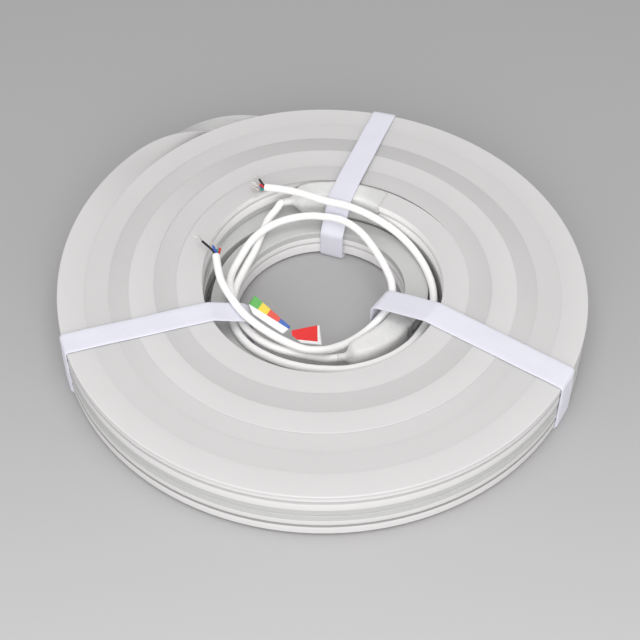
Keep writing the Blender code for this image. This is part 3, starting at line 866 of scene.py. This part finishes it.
def strip_angles():
    """The sections' angles, which are closer where the strip climbs."""
    angles = {*range(LOWER_END, STRIP_END + 1, SECTION_STEP), STRIP_END}
    angles.update(CLIMB_START + angle for angle in np.arange(CLIMB_OUT[0], CLIMB_BACK[1], CLIMB_SECTION_STEP))
    return sorted(float(angle) for angle in angles)


def strip_centres(angles):
    """The middles of the sections at some angles."""
    centres = []
    for angle in angles:
        radius, height, _ = strip_place(angle)
        centres.append(polar(radius + turn_fit(angle)[0], angle, height))
    return centres


def strip_points(angles, centres):
    """The sections' points, and a painted light and shade tone for each."""
    flat = FLAT_REACH - settings().strip.height / 2
    places = []
    tones = []
    for index, angle in enumerate(angles):
        roll = strip_place(angle)[2]
        width_share = turn_fit(angle)[1]
        up = upright(line_direction(centres, index))
        out = line_direction(centres, index).cross(up)
        high = up * math.cos(roll) + out * math.sin(roll)
        side = out * math.cos(roll) - up * math.sin(roll)
        outwards = math.copysign(1.0, math.cos(roll)) / section_half()
        for x, y in section_outline(angle):
            places.append(centres[index] + side * x * width_share + high * y)
            tone = foot_tone(angle, x * outwards) if y < flat else wall_tone(angle, x, y)
            tones.append(tone * climb_tone(angle))
    return places, tones


class NEON_OT_strip(bpy.types.Operator):
    """The strip in its two layers: white extruded body, grooves and milky diffuser"""

    bl_idname = "neon.strip"
    bl_label = "Strip"

    def execute(self, context):
        outline = section_outline(0)
        count = len(outline)
        angles = strip_angles()
        centres = strip_centres(angles)
        places, tones = strip_points(angles, centres)
        faces = quads(len(angles), count, closed_columns=True)
        milky = {*range(DIFFUSER_FACES), *range(count - DIFFUSER_FACES, count)}
        slots = [1 if index % count in milky else 0 for index in range(len(faces))] + [0, 0]
        across = loop_runs([(x, y, 0.0) for x, y in outline])
        corners = grid_corners(len(angles), count, runs(centres), across, closed_columns=True)
        add_ends(faces, corners, range(count), range(len(places) - count, len(places)))
        finishes = [white_silicone(), diffuser_silicone()]
        strip = mesh_piece("strip", places, faces, finishes, slots, corners)
        # Painted light and shade at each point of the strip
        keep_tones(strip, "painted_shading", tones)
        stand_for(strip, "neon_strip")
        return {"FINISHED"}


# The end caps


# From the strip's end to the lead: share of the cap's length, scale and squareness
CAP_TAPER = (
    (0.0, 1.0, 5.0), (0.25, 1.0, 5.0), (0.5, 1.0, 4.4), (0.65, 0.985, 3.8), (0.75, 0.96, 3.4),
    (0.82, 0.91, 3.0), (0.88, 0.81, 2.7), (0.93, 0.66, 2.4), (0.97, 0.48, 2.1), (1.0, 0.34, 2.0),
)

# The poured edge thins out over the strip: share of the socket, scale and squareness
CAP_MOUTH = ((0.0, 0.862, 24.0), (0.3, 0.905, 16.0), (0.65, 0.965, 7.5))

# The mouth's inner edge: how far in it lies, its scale and squareness
CAP_LIP = (0.0004, 0.84, 24.0)

# The sleeve on the lead: distances from the nose and radii
CAP_SLEEVE = ((0.0010, 0.00262), (0.0024, 0.00257), (0.0038, 0.00252), (0.0044, 0.00247))

CAP_STEPS = 36
CAP_RING_POINTS = 48
CAP_CLOSING_RINGS = 5
CAP_WOBBLES = ((130.0, 0.00035), (330.0, 0.00012))
CAP_WOBBLE_RINGS = ((3, 11), (12, 5))
POUR_TONE = 0.80
POUR_RINGS = 12


def cap_path(end_angle, direction, length_angle, drift):
    """The cap's stations from its mouth to its nose: centre, the section's scale and its squareness."""
    radius, height, _ = strip_place(end_angle)
    stations = []
    for share, scale, square in CAP_MOUTH:
        mouth = end_angle - direction * CAP_SOCKET_ANGLE * (1 - share)
        mouth_radius, mouth_height, _ = strip_place(mouth)
        stations.append((polar(mouth_radius, mouth, mouth_height), scale, square))
    shares, scales, squares = zip(*CAP_TAPER)
    for step in range(CAP_STEPS + 1):
        share = step / CAP_STEPS
        centre = polar(radius + drift * share, end_angle + direction * share * length_angle, height)
        scale, square = (float(np.interp(share, shares, values)) for values in (scales, squares))
        stations.append((centre, scale, square))
    return stations


def cap_ring(centre, forwards, half_width, half_height, square):
    """A ring between a circle and a rounded rectangle round a point of the cap's path."""
    up = upright(forwards)
    side = forwards.cross(up)
    ring = []
    for step in range(CAP_RING_POINTS):
        turn = 2 * math.pi * step / CAP_RING_POINTS
        x = math.copysign(abs(math.cos(turn)) ** (2 / square), math.cos(turn)) * half_width
        y = math.copysign(abs(math.sin(turn)) ** (2 / square), math.sin(turn)) * half_height
        ring.append(centre + side * x + up * y)
    return ring


def cap_rings(stations):
    """The cap's rings from the inner edge of its mouth, over its body, to the end of its sleeve."""
    strip = settings().strip
    half_width = strip.width / 2 + END_LIFT
    half_height = strip.height / 2 + END_LIFT
    middles = [centre for centre, _, _ in stations]
    last = len(stations) - 1
    first = line_direction(middles, 0)
    inset, scale, square = CAP_LIP
    rings = [cap_ring(middles[0] + first * inset, first, half_width * scale, half_height * scale, square)]
    for index, (centre, scale, square) in enumerate(stations):
        close = ease(index, (last - CAP_CLOSING_RINGS, last))
        wide = mix(half_width * scale, CAP_SLEEVE[0][1], close)
        tall = mix(half_height * scale, CAP_SLEEVE[0][1], close)
        rings.append(cap_ring(centre, line_direction(middles, index), wide, tall, square))
    onwards = line_direction(middles, last)
    for ahead, radius in CAP_SLEEVE:
        rings.append(cap_ring(middles[last] + onwards * ahead, onwards, radius, radius, 2.0))
    return rings


def make_cap(name, place, finish):
    """A poured sleeve over the strip's end that narrows to the lead."""
    rings = cap_rings(cap_path(*place))
    count = CAP_RING_POINTS
    middles = [sum(ring, Vector()) / count for ring in rings]
    start, end = CAP_WOBBLE_RINGS
    places = []
    for number, (ring, middle) in enumerate(zip(rings, middles)):
        lumpy = ease(number, start) * (1 - ease(number, (len(rings) - end[0], len(rings) - end[1])))
        for point in ring:
            away = (point - middle).normalized()
            wobble = sum(noise.noise(point * scale) * height for scale, height in CAP_WOBBLES)
            places.append(point + away * wobble * lumpy)
    faces = quads(len(rings), count, closed_columns=True)
    corners = grid_corners(len(rings), count, runs(middles), loop_runs(rings[4]), closed_columns=True)
    add_ends(faces, corners, range(len(places) - count, len(places)))
    cap = mesh_piece(name, places, faces, [finish], corners=corners)
    tones = [mix(POUR_TONE, 1.0, ease(number, (0, POUR_RINGS))) for number in range(len(rings))]
    keep_tones(cap, "pour_tone", np.repeat(tones, count))
    stand_for(cap, "end_" + name)


def nose(place):
    """Where the lead leaves the cap, and its direction."""
    points = [station[0] for station in cap_path(*place)]
    return points[-1], (points[-1] - points[-2]).normalized()


class NEON_OT_caps(bpy.types.Operator):
    """The two end caps in the hole"""

    bl_idname = "neon.caps"
    bl_label = "End caps"

    def execute(self, context):
        finish = cap_silicone()
        for name, place in CAPS.items():
            make_cap(name, place, finish)
        return {"FINISHED"}


# The leads


LEAD_SPACING = 0.0016
CUT_END_SPACING = 0.0120
CORE_SPACING = 0.0005
CORE_HIDDEN = 0.0030
STRAND_SPACING = 0.0006
STRAND_HIDDEN = 0.0006

# The strands of a core: how many, how unevenly they sit, how their lengths differ and how far they spread
STRANDS = 7
STRAND_SWAY = 0.2
STRAND_LENGTHS = (0.75, 1.05)
STRAND_SPREAD = (0.08, 0.42)
STRAND_LEAN = 1.2


def lead_points(route, start, forwards, spacing):
    exit_point = start + forwards * FACE_GAP
    free = [exit_point + forwards * settings().leads.diameter]
    free += [polar(radius, angle, height) for radius, angle, height in route]
    return [exit_point, *smooth_points(free, spacing, before=exit_point)]


def strand_lines(start, ahead, end, core_radius, seed):
    """Seven bare strands that leave a core together and spread towards their tips."""
    side = ahead.orthogonal().normalized()
    other = ahead.cross(side)
    generator = np.random.default_rng(seed)
    onwards = (end - start).normalized()
    lines = []
    for number in range(STRANDS):
        turn = math.radians(60 * number) + generator.uniform(-STRAND_SWAY, STRAND_SWAY)
        off_middle = core_radius * (0.0 if number == STRANDS - 1 else 0.5)
        seat = start + (side * math.cos(turn) + other * math.sin(turn)) * off_middle
        length = (end - start).length * generator.uniform(*STRAND_LENGTHS)
        lean = side * math.cos(turn + STRAND_LEAN) + other * math.sin(turn + STRAND_LEAN)
        spread = lean * length * generator.uniform(*STRAND_SPREAD)
        middle = seat + onwards * length * 0.5 + spread * 0.3
        tip = seat + onwards * length + spread
        lines.append(smooth_points([seat - ahead * STRAND_HIDDEN, seat, middle, tip], STRAND_SPACING))
    return lines


def make_lead(name, route, cores, start, forwards, finishes, seed):
    """A sheath with its four cores and their bare strands at the cut end."""
    leads = settings().leads
    points = lead_points(route, start, forwards, LEAD_SPACING)
    sheath = round_curve(name, [points], leads.diameter, finishes["sheath"], sides=6)
    coarse = lead_points(route, start, forwards, CUT_END_SPACING)
    cut_end = coarse[-1]
    ahead = (cut_end - coarse[-2]).normalized()
    left = Vector((0, 0, 1)).cross(ahead).normalized()
    up = ahead.cross(left)

    def beyond(x, y, z):
        """A place beyond the cut end, from millimetres ahead, to the left and up."""
        return cut_end + (ahead * x + left * y + up * z) / 1000

    stand_for(sheath, name + "_sheath")
    pieces = []
    for number, (colour, (turn, bends, tip)) in enumerate(cores.items()):
        seat = left * math.cos(math.radians(turn)) + up * math.sin(math.radians(turn))
        root = cut_end + ahead * CORE_GAP + seat * CORE_CIRCLE
        core_route = [root - ahead * CORE_HIDDEN, root, root + ahead * leads.core_diameter / 2]
        core_points = smooth_points([*core_route, *(beyond(*bend) for bend in bends)], CORE_SPACING)
        core = round_curve(f"{name}_{colour}", [core_points], leads.core_diameter, finishes[colour], sides=4)
        stand_for(core, f"{name}_core_{colour}")
        onwards = (core_points[-1] - core_points[-2]).normalized()
        lines = strand_lines(core_points[-1], onwards, beyond(*tip), leads.core_diameter / 2, seed + number)
        bare_name = f"{name}_strands_{colour}"
        bare = round_curve(bare_name, lines, leads.strand_diameter, finishes["strands"], sides=2)
        stand_for(bare, f"{name}_conductor_{colour}")
        pieces += [core, bare]
    return sheath, pieces, points


class NEON_OT_leads(bpy.types.Operator):
    """The two white leads with their cut ends"""

    bl_idname = "neon.leads"
    bl_label = "Leads"

    def execute(self, context):
        finishes = {"sheath": lead_sheath(), "strands": tinned_copper()}
        finishes.update((name, core_insulation(name, colour)) for name, colour in CORE_COLOURS.items())
        for name, route, cores, cap, seed, carried in (
            ("lead_upper", UPPER_LEAD_ROUTE, UPPER_CORES, "cap_upper", 11, ()),
            ("lead_lower", LOWER_LEAD_ROUTE, LOWER_CORES, "cap_lower", 31, tuple(LABELS)),
        ):
            sheath, pieces, points = make_lead(name, route, cores, *nose(CAPS[cap]), finishes, seed)
        return {"FINISHED"}


# The straps


STRAP_SPACING = 0.0014
STRAP_BEND_STEPS = 6
STRAP_SEED = 7.3
FLOOR_GAP = 0.00003

# The tape's section: its thickness against the solid's, its selvedges, and the points across each face
TAPE_THICKNESS = 0.92
SELVEDGE = 0.0006
SELVEDGE_EDGE = (0.0002, 0.75)
TAPE_POINTS = 9

# How the tape lies: its lift, its snugness to the wall, the radii between which it takes the wall's curve,
# and its slight sway and curl, each as a pace along the tape and a height
TAPE_LIFT = 0.00012
TAPE_SNUG = 0.0002
WALL_RADII = (0.150, 0.1675)
SWAY = (0.045, 0.0004)
CURL = (0.06, 0.00022)
CURL_ACROSS = 90.0

# The gripping tail: its first height and its end above the upper layer's middle, its rows, its lift and
# thickness as shares, how deep its end sinks into the tape, its narrower last rows, its offset and its curl
TAIL_ENDS = (0.0030, 0.0030)
TAIL_ROWS = 26
TAIL_LIFT = 0.22
TAIL_THICKNESS = 0.5
TAIL_SINK = 0.55
TAIL_NARROW = 0.0007
TAIL_NARROW_BEYOND = 0.0045
TAIL_OFFSET = 0.0001
TAIL_CURL = (70, 60, 0.0001)


def with_neighbours(corners):
    """Each corner of a closed outline with the corner before and the corner after it."""
    points = [Vector(corner) for corner in corners]
    return zip(points[-1:] + points[:-1], points, points[1:] + points[:1])


def rounded_path(corners, bend):
    """A closed path through the corners, each turned with an arc of the bend's radius."""
    path = []
    for before, corner, after in with_neighbours(corners):
        to_before = (before - corner).normalized()
        to_after = (after - corner).normalized()
        half = to_before.angle(to_after) / 2
        middle = corner + (to_before + to_after).normalized() * bend / math.sin(half)
        first = corner + to_before * bend / math.tan(half) - middle
        last = corner + to_after * bend / math.tan(half) - middle
        for step in range(STRAP_BEND_STEPS + 1):
            path.append(middle + first.lerp(last, step / STRAP_BEND_STEPS).normalized() * bend)
    return path


def offset_corners(corners, distance):
    """The corners of the same counter-clockwise outline moved outwards by a distance."""
    moved = []
    for before, corner, after in with_neighbours(corners):
        into = (corner - before).normalized()
        out = (after - corner).normalized()
        normal_in = Vector((into.y, -into.x))
        mitre = (normal_in + Vector((out.y, -out.x))).normalized()
        moved.append(tuple(corner + mitre * distance / mitre.dot(normal_in)))
    return moved


def strap_space(name, offset, run, rise):
    """The corners of the space inside a strap, from the foot of the wall up, over and down into the hole."""
    strip = settings().strip
    straps = settings().straps
    low, high = layer_heights()
    top = high + strip.height / 2 + STRAP_GAP
    rim_radius = strip.radius - UPPER_TURNS * turn_pitch()
    reach = abs(offset) + straps.width / 2
    outer = strip.radius + STRAP_GAP
    rim = math.sqrt(rim_radius ** 2 - reach ** 2) - STRAP_GAP
    leg = rim - run
    shoulder = low + strip.height / 2 + rise
    corners = [(outer, straps.thickness), (outer, top)]
    if name == "strap_back":
        cap_outer = rim_radius + strip.width
        cap_inner = rim_radius - 2 * END_LIFT
        cap_top = top + 2 * END_LIFT
        corners += [(cap_outer, cap_top), (math.sqrt(cap_inner ** 2 - reach ** 2) - STRAP_GAP, cap_top)]
        corners.append((leg, shoulder))
    else:
        corners += [(rim, top), (leg + STRAP_SHOULDER, shoulder), (leg, shoulder - STRAP_SHOULDER)]
    return corners + [(leg, straps.thickness)]


def tape_section(width, thickness):
    """A tape's section: flat faces and soft selvedges, as offsets across and outwards."""
    half = width / 2
    thin = thickness / 2
    edge = half - SELVEDGE
    inset, share = SELVEDGE_EDGE
    side = [(edge, thin), (half - inset, thin * share), (half, 0.0)]
    side += [(x, -y) for x, y in reversed(side[:-1])]
    top = [(x, thin) for x in np.linspace(-edge, edge, TAPE_POINTS)[1:-1]]
    bottom = [(x, -thin) for x in np.linspace(edge, -edge, TAPE_POINTS)[1:-1]]
    return top + side + bottom + [(-x, -y) for x, y in side]


def wall_curve(across):
    """How far the round wall falls back from a flat tape, and the tape's snugness."""
    return across * across / (2 * settings().strip.radius) + TAPE_SNUG


def band_points(path, section, offset, seed):
    """The tape's points round the roll's section: outwards, sideways and up."""
    places = []
    for index, point in enumerate(path):
        forwards = (path[(index + 1) % len(path)] - path[index - 1]).normalized()
        normal = Vector((forwards.y, -forwards.x))
        sway = noise.noise(Vector((index * SWAY[0], seed, 0.0))) * SWAY[1]
        for across, away in section:
            curl = noise.noise(Vector((index * CURL[0], across * CURL_ACROSS, seed))) * CURL[1]
            at = point + normal * (away + curl + TAPE_LIFT)
            closer = wall_curve(offset + across) * ease(at.x, WALL_RADII)
            places.append((at.x - closer, offset + across + sway, max(FLOOR_GAP, at.y)))
    return places


def tail_points(heights, section, offset, seed):
    """The gripping tail's points on the outer wall: outwards, sideways and up."""
    thickness = settings().straps.thickness
    wall = settings().strip.radius + STRAP_GAP + thickness * (1 + TAIL_LIFT)
    count = len(heights)
    places = []
    for index, height in enumerate(heights):
        sunk = wall - TAIL_SINK * thickness * (index / count) ** 5
        narrow = TAIL_NARROW * max(0, index - count + 3)
        for x, y in section:
            out = sunk + y * TAIL_THICKNESS - wall_curve(offset + x)
            out += noise.noise(Vector((x * TAIL_CURL[0], height * TAIL_CURL[1], seed))) * TAIL_CURL[2]
            reach = x - math.copysign(narrow, x) if abs(x) > TAIL_NARROW_BEYOND else x
            places.append((out, offset + TAIL_OFFSET + reach, height))
    return places


def make_strap(name, plane_angle, offset, run, rise, wider, finish, seed):
    """A tape round the roll's section, with its gripping tail over the outer wall."""
    straps = settings().straps
    middle_line = offset_corners(strap_space(name, offset, run, rise), straps.thickness / 2)
    path = rounded_path(middle_line, straps.bend)
    path = spaced([*path, path[0]], STRAP_SPACING)[:-1]
    offset -= wider / 2
    section = tape_section(straps.width + wider, straps.thickness * TAPE_THICKNESS)
    heights = np.linspace(TAIL_ENDS[0], layer_heights()[1] + TAIL_ENDS[1], TAIL_ROWS)
    places = band_points(path, section, offset, seed)
    first = len(places)
    places += tail_points(heights, section, offset, seed)
    count = len(section)
    across = loop_runs([(x, y, 0.0) for x, y in section])
    faces = quads(len(path), count, closed_rows=True, closed_columns=True)
    corners = grid_corners(len(path), count, loop_runs(path), across, closed_rows=True, closed_columns=True)
    tail = quads(TAIL_ROWS, count, closed_columns=True)
    faces += [tuple(first + corner for corner in face) for face in tail]
    corners += grid_corners(TAIL_ROWS, count, heights, across, closed_columns=True)
    add_ends(faces, corners, range(first, first + count), range(len(places) - count, len(places)))
    out = polar(1.0, plane_angle, 0.0)
    lateral = polar(1.0, plane_angle + 90, 0.0)
    spots = [out * away + lateral * beside + Vector((0, 0, height)) for away, beside, height in places]
    strap = mesh_piece(name.replace("strap", "tape"), spots, faces, [finish], corners=corners)
    stand_for(strap, name)


class NEON_OT_straps(bpy.types.Operator):
    """The three hook-and-loop straps"""

    bl_idname = "neon.straps"
    bl_label = "Straps"

    def execute(self, context):
        finish = strap_nylon()
        for number, (name, lie) in enumerate(STRAPS.items()):
            make_strap(name, *lie, finish, seed=number * STRAP_SEED)
        return {"FINISHED"}


# The labels


# A label's grid, and half its thickness and its curl in millimetres
LABEL_GRID = (24, 12)
LABEL_HALF = 0.12
LABEL_CURL = 0.35

STRIPES = ((0.10, 0.42, 0.08), (0.80, 0.62, 0.05), (0.72, 0.07, 0.04), (0.04, 0.12, 0.45))
STRIPE_SPLITS = (0.22, 0.44, 0.72)
STRIPES_BLANK = 0.42
RED_FIELDS = ((0.80, 0.03, 0.03), (0.85, 0.85, 0.84))
RED_SPLITS = (0.86,)
RED_BLANK = 0.14


def edge_span(outline, level):
    """The lowest and highest x where a closed outline crosses a level."""
    found = []
    for (ax, ay), (bx, by) in zip(outline, outline[1:] + outline[:1]):
        if min(ay, by) <= level <= max(ay, by) and ay != by:
            found.append(ax + (bx - ax) * (level - ay) / (by - ay))
    return min(found), max(found)


def extent(outline):
    """The lowest and the highest x and y of an outline."""
    xs, ys = zip(*outline)
    return min(xs), max(xs), min(ys), max(ys)


def label_grid(outline):
    """A grid of points over a label with a slight curl: along it, across it and off it, in millimetres."""
    columns, rows = LABEL_GRID
    start, end, low, top = extent(outline)
    points = []
    for row in range(rows + 1):
        level = row / rows
        y = mix(low, top, level)
        left, right = edge_span(outline, y)
        for column in range(columns + 1):
            x = mix(left, right, column / columns)
            points.append((x, y, LABEL_CURL * math.sin(math.pi * (x - start) / (end - start)) * level ** 2))
    return points


def label_faces(offset):
    """The faces of a thin sheet with a grid of points on each side, the second an offset after the first."""
    columns, rows = LABEL_GRID
    count = columns + 1
    sheet = quads(rows + 1, count)
    faces = [tuple(reversed(face)) for face in sheet]
    faces += [tuple(corner + offset for corner in face) for face in sheet]
    rim = list(range(count)) + [row * count + columns for row in range(1, rows + 1)]
    rim += [rows * count + column for column in range(columns - 1, -1, -1)]
    rim += [row * count for row in range(rows - 1, 0, -1)]
    return faces + [(a, b, b + offset, a + offset) for a, b in zip(rim, rim[1:] + rim[:1])]


def make_label(name, origin, along, across, outline, finish):
    """A paper flag on the lead, its fields printed along its long edge."""
    x_axis = Vector(along).normalized()
    z_axis = x_axis.cross(Vector(across)).normalized()
    y_axis = z_axis.cross(x_axis)
    points = label_grid(outline)
    places = []
    for side in (LABEL_HALF, -LABEL_HALF):
        for x, y, curl in points:
            places.append((Vector(origin) + x_axis * x + y_axis * y + z_axis * (curl + side)) / 1000)
    faces = label_faces(len(points))
    start, end, low, top = extent(outline)
    spots = [((x - start) / (end - start), (y - low) / (top - low)) for x, y, _ in points] * 2
    corners = [spots[corner] for face in faces for corner in face]
    label = mesh_piece(name.replace("label", "flag"), places, faces, [finish], corners=corners)
    stand_for(label, name)


class NEON_OT_labels(bpy.types.Operator):
    """The two paper labels on the lower lead, with plain colour fields"""

    bl_idname = "neon.labels"
    bl_label = "Labels"

    def execute(self, context):
        striped = label_paper("striped_paper", STRIPES, STRIPE_SPLITS, STRIPES_BLANK)
        plain = label_paper("red_paper", RED_FIELDS, RED_SPLITS, RED_BLANK)
        for (name, lie), finish in zip(LABELS.items(), (striped, plain)):
            make_label(name, *lie, finish)
        return {"FINISHED"}


# The stage


FLOOR_REACH = 14.0
AIM = Vector((-0.0019, -0.0350, 0.0378))
SENSOR_WIDTH = 36.0
ROOM_COLOUR = (1.0, 0.99, 1.0, 1.0)
ROOM_STRENGTH = 0.57

# Each square lamp: its place, its side and its power
LAMPS = {"front_box": ((0.0, -1.4, 0.75), 1.2, 14.5), "top_box": ((0.0, -0.25, 1.3), 0.9, 6.4)}


def make_camera():
    """The camera at the photograph's angle."""
    stage = settings().stage
    lens = bpy.data.cameras.new("camera")
    lens.lens = stage.lens
    lens.sensor_width = SENSOR_WIDTH
    camera = bpy.data.objects.new("camera", lens)
    back = Vector((0.0, -math.cos(stage.elevation), math.sin(stage.elevation)))
    camera.location = AIM + ROLL_AXIS + back * stage.distance
    camera.rotation_euler = (math.pi / 2 - stage.elevation, 0.0, 0.0)
    bpy.context.scene.collection.objects.link(camera)
    bpy.context.scene.camera = camera


def make_lamp(name, place, side, power):
    """A soft square lamp that faces the floor under the roll."""
    light = bpy.data.lights.new(name, "AREA")
    light.shape = "SQUARE"
    light.size = side
    light.energy = power
    lamp = bpy.data.objects.new(name, light)
    lamp.location = place
    lamp.rotation_euler = (-Vector(place)).to_track_quat("-Z", "Y").to_euler()
    bpy.context.scene.collection.objects.link(lamp)


class NEON_OT_stage(bpy.types.Operator):
    """A pale floor, soft light and the camera"""

    bl_idname = "neon.stage"
    bl_label = "Stage"

    def execute(self, context):
        context.scene.view_settings.view_transform = "Standard"
        context.scene.view_settings.look = "None"
        spots = [(x * FLOOR_REACH, y * FLOOR_REACH, 0.0) for x, y in ((-1, -1), (1, -1), (1, 1), (-1, 1))]
        floor = mesh_piece("floor", spots, [(0, 1, 2, 3)], [floor_paper()])
        make_camera()
        for name, lamp in LAMPS.items():
            make_lamp(name, *lamp)
        world = bpy.data.worlds.new("soft_room")
        world.use_nodes = True
        room = world.node_tree.nodes["Background"]
        room.inputs["Color"].default_value = ROOM_COLOUR
        room.inputs["Strength"].default_value = ROOM_STRENGTH
        context.scene.world = world
        return {"FINISHED"}


class NEON_PT_panel(bpy.types.Panel):
    """The roll's pieces"""

    bl_idname = "NEON_PT_panel"
    bl_label = "Neon flex roll"
    bl_space_type = "VIEW_3D"
    bl_region_type = "UI"
    bl_category = "Neon flex"

    def draw(self, context):
        for step in STEPS:
            self.layout.operator(step.bl_idname)


STEPS = (NEON_OT_stage, NEON_OT_labels, NEON_OT_leads, NEON_OT_strip, NEON_OT_caps, NEON_OT_straps)
SETTINGS = (StripSettings, LeadSettings, StrapSettings, StageSettings, RollSettings)


def register():
    for kind in (*SETTINGS, *STEPS, NEON_PT_panel):
        bpy.utils.register_class(kind)
    bpy.types.Scene.neon_roll = bpy.props.PointerProperty(type=RollSettings)


def unregister():
    del bpy.types.Scene.neon_roll
    for kind in reversed((*SETTINGS, *STEPS, NEON_PT_panel)):
        bpy.utils.unregister_class(kind)


def main():
    register()
    bpy.ops.neon.stage()
    bpy.ops.neon.leads()
    bpy.ops.neon.labels()
    bpy.ops.neon.strip()
    bpy.ops.neon.caps()
    bpy.ops.neon.straps()


if __name__ == "__main__":
    main()
